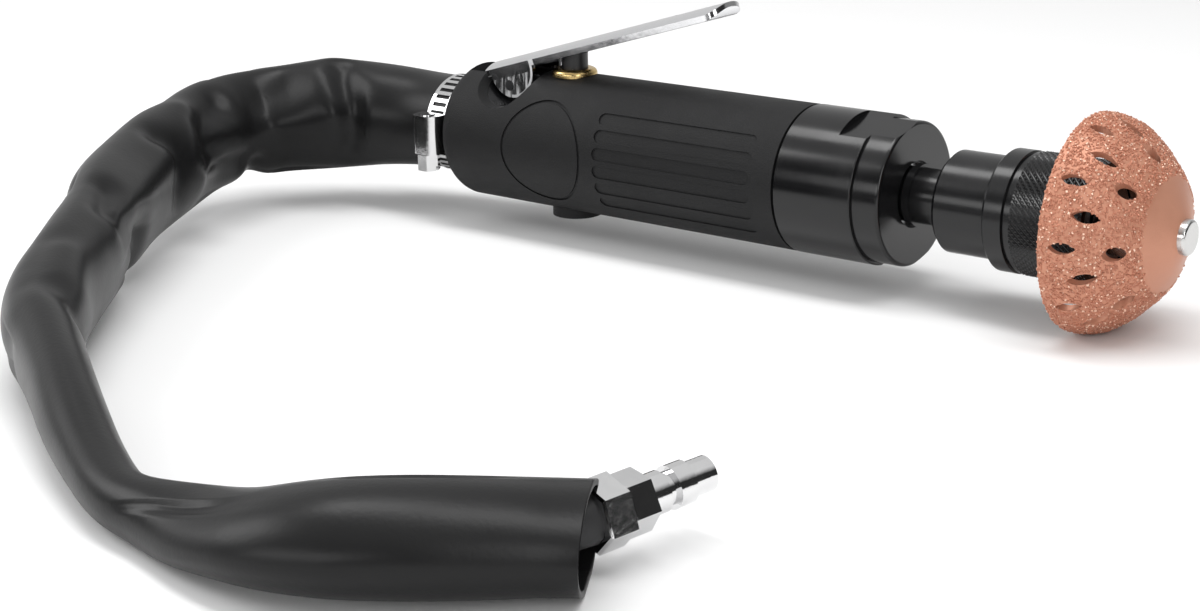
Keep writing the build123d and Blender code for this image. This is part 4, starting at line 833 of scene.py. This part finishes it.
def roll_up(tree, grid, place):
    rolled = put(tree, "GeometryNodeSetPosition", Geometry=grid, Position=place)
    joined = put(tree, "GeometryNodeMergeByDistance", Geometry=rolled.outputs["Geometry"],
                 Distance=SEAM)
    return joined.outputs["Geometry"]


print("rolled grid ready")

# %% [markdown]
# ## Knurl of the chuck sleeve
# The fingers pull the chuck's sleeve back by its knurl, a diamond pattern about two
# millimetres wide. Two sets of slanting ridges cross on the grid, each a triangle wave
# of the column plus or minus the row. The lower of the two waves leaves diamonds.

# %% Knurl
CELLS_PER_WAVE = 4.0
knurl_nodes, knurl_in, knurl_out = geometry_tree("knurl", [
    ("Around", "NodeSocketInt", 232), ("Rows", "NodeSocketInt", 44), ("Start", FLOAT, 0.1),
    ("Span", FLOAT, 0.02), ("Radius", FLOAT, 0.018), ("Depth", FLOAT, 0.0003)])
knurl_size = knurl_in.outputs


def triangle_wave(value):
    step = calc(knurl_nodes, "FLOORED_MODULO", value, CELLS_PER_WAVE)
    share = calc(knurl_nodes, "MULTIPLY", step, 2.0 / CELLS_PER_WAVE)
    away = calc(knurl_nodes, "ABSOLUTE", calc(knurl_nodes, "SUBTRACT", share, 1.0))
    return calc(knurl_nodes, "SUBTRACT", 1.0, away)


def diamond(column, row):
    rising = triangle_wave(calc(knurl_nodes, "ADD", column, row))
    falling = triangle_wave(calc(knurl_nodes, "SUBTRACT", column, row))
    lower = calc(knurl_nodes, "MINIMUM", rising, falling)
    return calc(knurl_nodes, "MULTIPLY", lower, knurl_size["Depth"])


knurl_rolled = roll_up(knurl_nodes, *rolled_grid(knurl_nodes, knurl_size, diamond))
knurl_flat = put(knurl_nodes, "GeometryNodeSetShadeSmooth", Geometry=knurl_rolled,
                 Shade_Smooth=False)
close_tree(knurl_nodes, knurl_flat.outputs["Geometry"], black_chuck, knurl_out)
chuck_knurl = grow("chuck_knurl", bpy.data.meshes.new("chuck_knurl"), knurl_nodes,
                   Around=232, Rows=44, Start=at(78.2, 0, 0).x, Span=0.0222,
                   Radius=0.01812, Depth=0.0005)
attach(chuck_knurl, "sleeve")
print("knurl faces", len(chuck_knurl.data.polygons))

# %% [markdown]
# ## Slotted clamp band
# A worm-drive clamp is a strip of bright steel with cross slots that the screw's thread
# runs in. The same rolled grid makes the strip, every second cell of its middle rows is
# taken out, and a Solidify modifier gives the strip its thickness.

# %% Clamp band
SLOT_REACH = 0.34   # of the band's width, to each side of its middle
band_nodes, band_in, band_out = geometry_tree("slotted_band", [
    ("Around", "NodeSocketInt", 72), ("Rows", "NodeSocketInt", 6), ("Start", FLOAT, 0.1),
    ("Span", FLOAT, 0.009), ("Radius", FLOAT, 0.017)])
band_size = band_in.outputs
band_grid, band_place = rolled_grid(band_nodes, band_size)
cell = put(band_nodes, "GeometryNodeInputPosition")
cell_split = put(band_nodes, "ShaderNodeSeparateXYZ", Vector=cell.outputs["Position"])
cell_across = calc(band_nodes, "ADD", cell_split.outputs["X"], 0.5)
cell_column = calc(band_nodes, "FLOOR",
                   calc(band_nodes, "MULTIPLY", cell_across, band_size["Around"]))
odd = calc(band_nodes, "MODULO", cell_column, 2.0)
middle = calc(band_nodes, "LESS_THAN",
              calc(band_nodes, "ABSOLUTE", cell_split.outputs["Y"]), SLOT_REACH)
slots = put(band_nodes, "GeometryNodeDeleteGeometry", domain="FACE", Geometry=band_grid,
            Selection=calc(band_nodes, "MULTIPLY", odd, middle))
band_rolled = roll_up(band_nodes, slots.outputs["Geometry"], band_place)
close_tree(band_nodes, band_rolled, clamp_steel, band_out)
slotted_band = grow("slotted_band", bpy.data.meshes.new("slotted_band"), band_nodes,
                    Around=72, Rows=6, Start=at(-149.7, 0, 0).x, Span=0.009, Radius=0.0172)
strip = slotted_band.modifiers.new("strip", "SOLIDIFY")
strip.thickness = 0.0007
strip.offset = -1
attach(slotted_band, "handle")
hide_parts("clamp_band")
print("band faces", len(slotted_band.data.polygons))

# %% [markdown]
# ## Coil springs
# Two coil springs sit inside the tool. The valve's spring shortens as the lever goes
# down, and the chuck's spring as its sleeve is drawn back. Each spring here is a merged,
# smooth-shaded copy of its solid that rides with its body, and the solid is hidden.

# %% Coil springs
COIL_MERGE = 0.00001


def coil_spring(name, node, body):
    mesh = bmesh.new()
    mesh.from_mesh(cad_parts[node].data)
    bmesh.ops.remove_doubles(mesh, verts=mesh.verts, dist=COIL_MERGE)
    data = bpy.data.meshes.new(name)
    mesh.to_mesh(data)
    mesh.free()
    for face in data.polygons:
        face.use_smooth = True
    spring = bpy.data.objects.new(name, data)
    scene.collection.objects.link(spring)
    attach(spring, body)
    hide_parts(node)
    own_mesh(spring)
    print(name, "faces", len(data.polygons))


coil_spring("valve_coil", "valve_spring", "handle")
coil_spring("chuck_coil", "chuck_spring", "spindle")

# %% [markdown]
# ## Floor and light
# The bench is a plain pale floor. A long soft light hangs over the tool, and three more
# fill from the left, from the front right and low along the sleeve's front run. The sky
# is dark in front and light overhead and behind on the left, so that bright plate has
# something dark and something light to show.

# %% Floor
FLOOR_REACH = 6
corners = ((-1, -1), (1, -1), (1, 1), (-1, 1))
floor_mesh = bpy.data.meshes.new("floor")
floor_mesh.from_pydata([(FLOOR_REACH * x, FLOOR_REACH * y, 0) for x, y in corners],
                       [], [(0, 1, 2, 3)])
floor = bpy.data.objects.new("floor", floor_mesh)
scene.collection.objects.link(floor)
floor_paint = bpy.data.materials.new("pale_bench")
floor_paint.use_nodes = True
floor_shader = floor_paint.node_tree.nodes["Principled BSDF"]
floor_shader.inputs["Base Color"].default_value = (0.93, 0.93, 0.93, 1)
floor_shader.inputs["Roughness"].default_value = 0.9
floor_shader.inputs["Specular IOR Level"].default_value = 0.1
floor_mesh.materials.append(floor_paint)
print("floor ready")

# %% Lamps
def softbox(name, place, target, size, power):
    data = bpy.data.lights.new(name, "AREA")
    data.shape = "RECTANGLE"
    data.size, data.size_y = size
    data.energy = power
    lamp = bpy.data.objects.new(name, data)
    lamp.location = place
    lamp.rotation_mode = "QUATERNION"
    lamp.rotation_quaternion = (Vector(target) - Vector(place)).to_track_quat("-Z", "Y")
    scene.collection.objects.link(lamp)


softbox("overhead_light", (0.0, -0.1, 1.2), (0, -0.1, 0), (1.5, 0.35), 9)
softbox("left_light", (-1.1, -0.7, 0.8), (0, -0.1, 0.02), (0.7, 0.7), 6.5)
softbox("front_light", (1.1, -0.8, 0.55), (0.1, 0, 0.03), (0.4, 0.8), 4)
softbox("low_light", (-0.1, -1.3, 0.35), (0, -0.27, 0.01), (1.2, 0.3), 4)

# %% Sky
SKY_STRENGTH = 0.75
SKY_BEHIND, SKY_LEFT = 0.75, 0.66   # the light side's direction
SKY_DARK, SKY_LIGHT = 0.04, 0.90
world = bpy.data.worlds.new("studio")
scene.world = world
world.use_nodes = True
sky_tree = world.node_tree
sky_place = put(sky_tree, "ShaderNodeTexCoord")
sky_split = put(sky_tree, "ShaderNodeSeparateXYZ", Vector=sky_place.outputs["Generated"])
sky_turn = calc(sky_tree, "SUBTRACT",
                calc(sky_tree, "MULTIPLY", sky_split.outputs["Y"], SKY_BEHIND),
                calc(sky_tree, "MULTIPLY", sky_split.outputs["X"], SKY_LEFT))
sky_back = put(sky_tree, "ShaderNodeMapRange", Value=sky_turn, From_Min=0.0, From_Max=0.7,
               To_Min=SKY_DARK, To_Max=SKY_LIGHT)
sky_rise = put(sky_tree, "ShaderNodeMapRange", Value=sky_split.outputs["Z"],
               From_Min=0.45, From_Max=0.75)
sky_tone = calc(sky_tree, "MAXIMUM", sky_back.outputs["Result"], sky_rise.outputs["Result"])
backdrop = sky_tree.nodes["Background"]
sky_tree.links.new(sky_tone, backdrop.inputs["Color"])
backdrop.inputs["Strength"].default_value = SKY_STRENGTH
print("sky strength", SKY_STRENGTH)
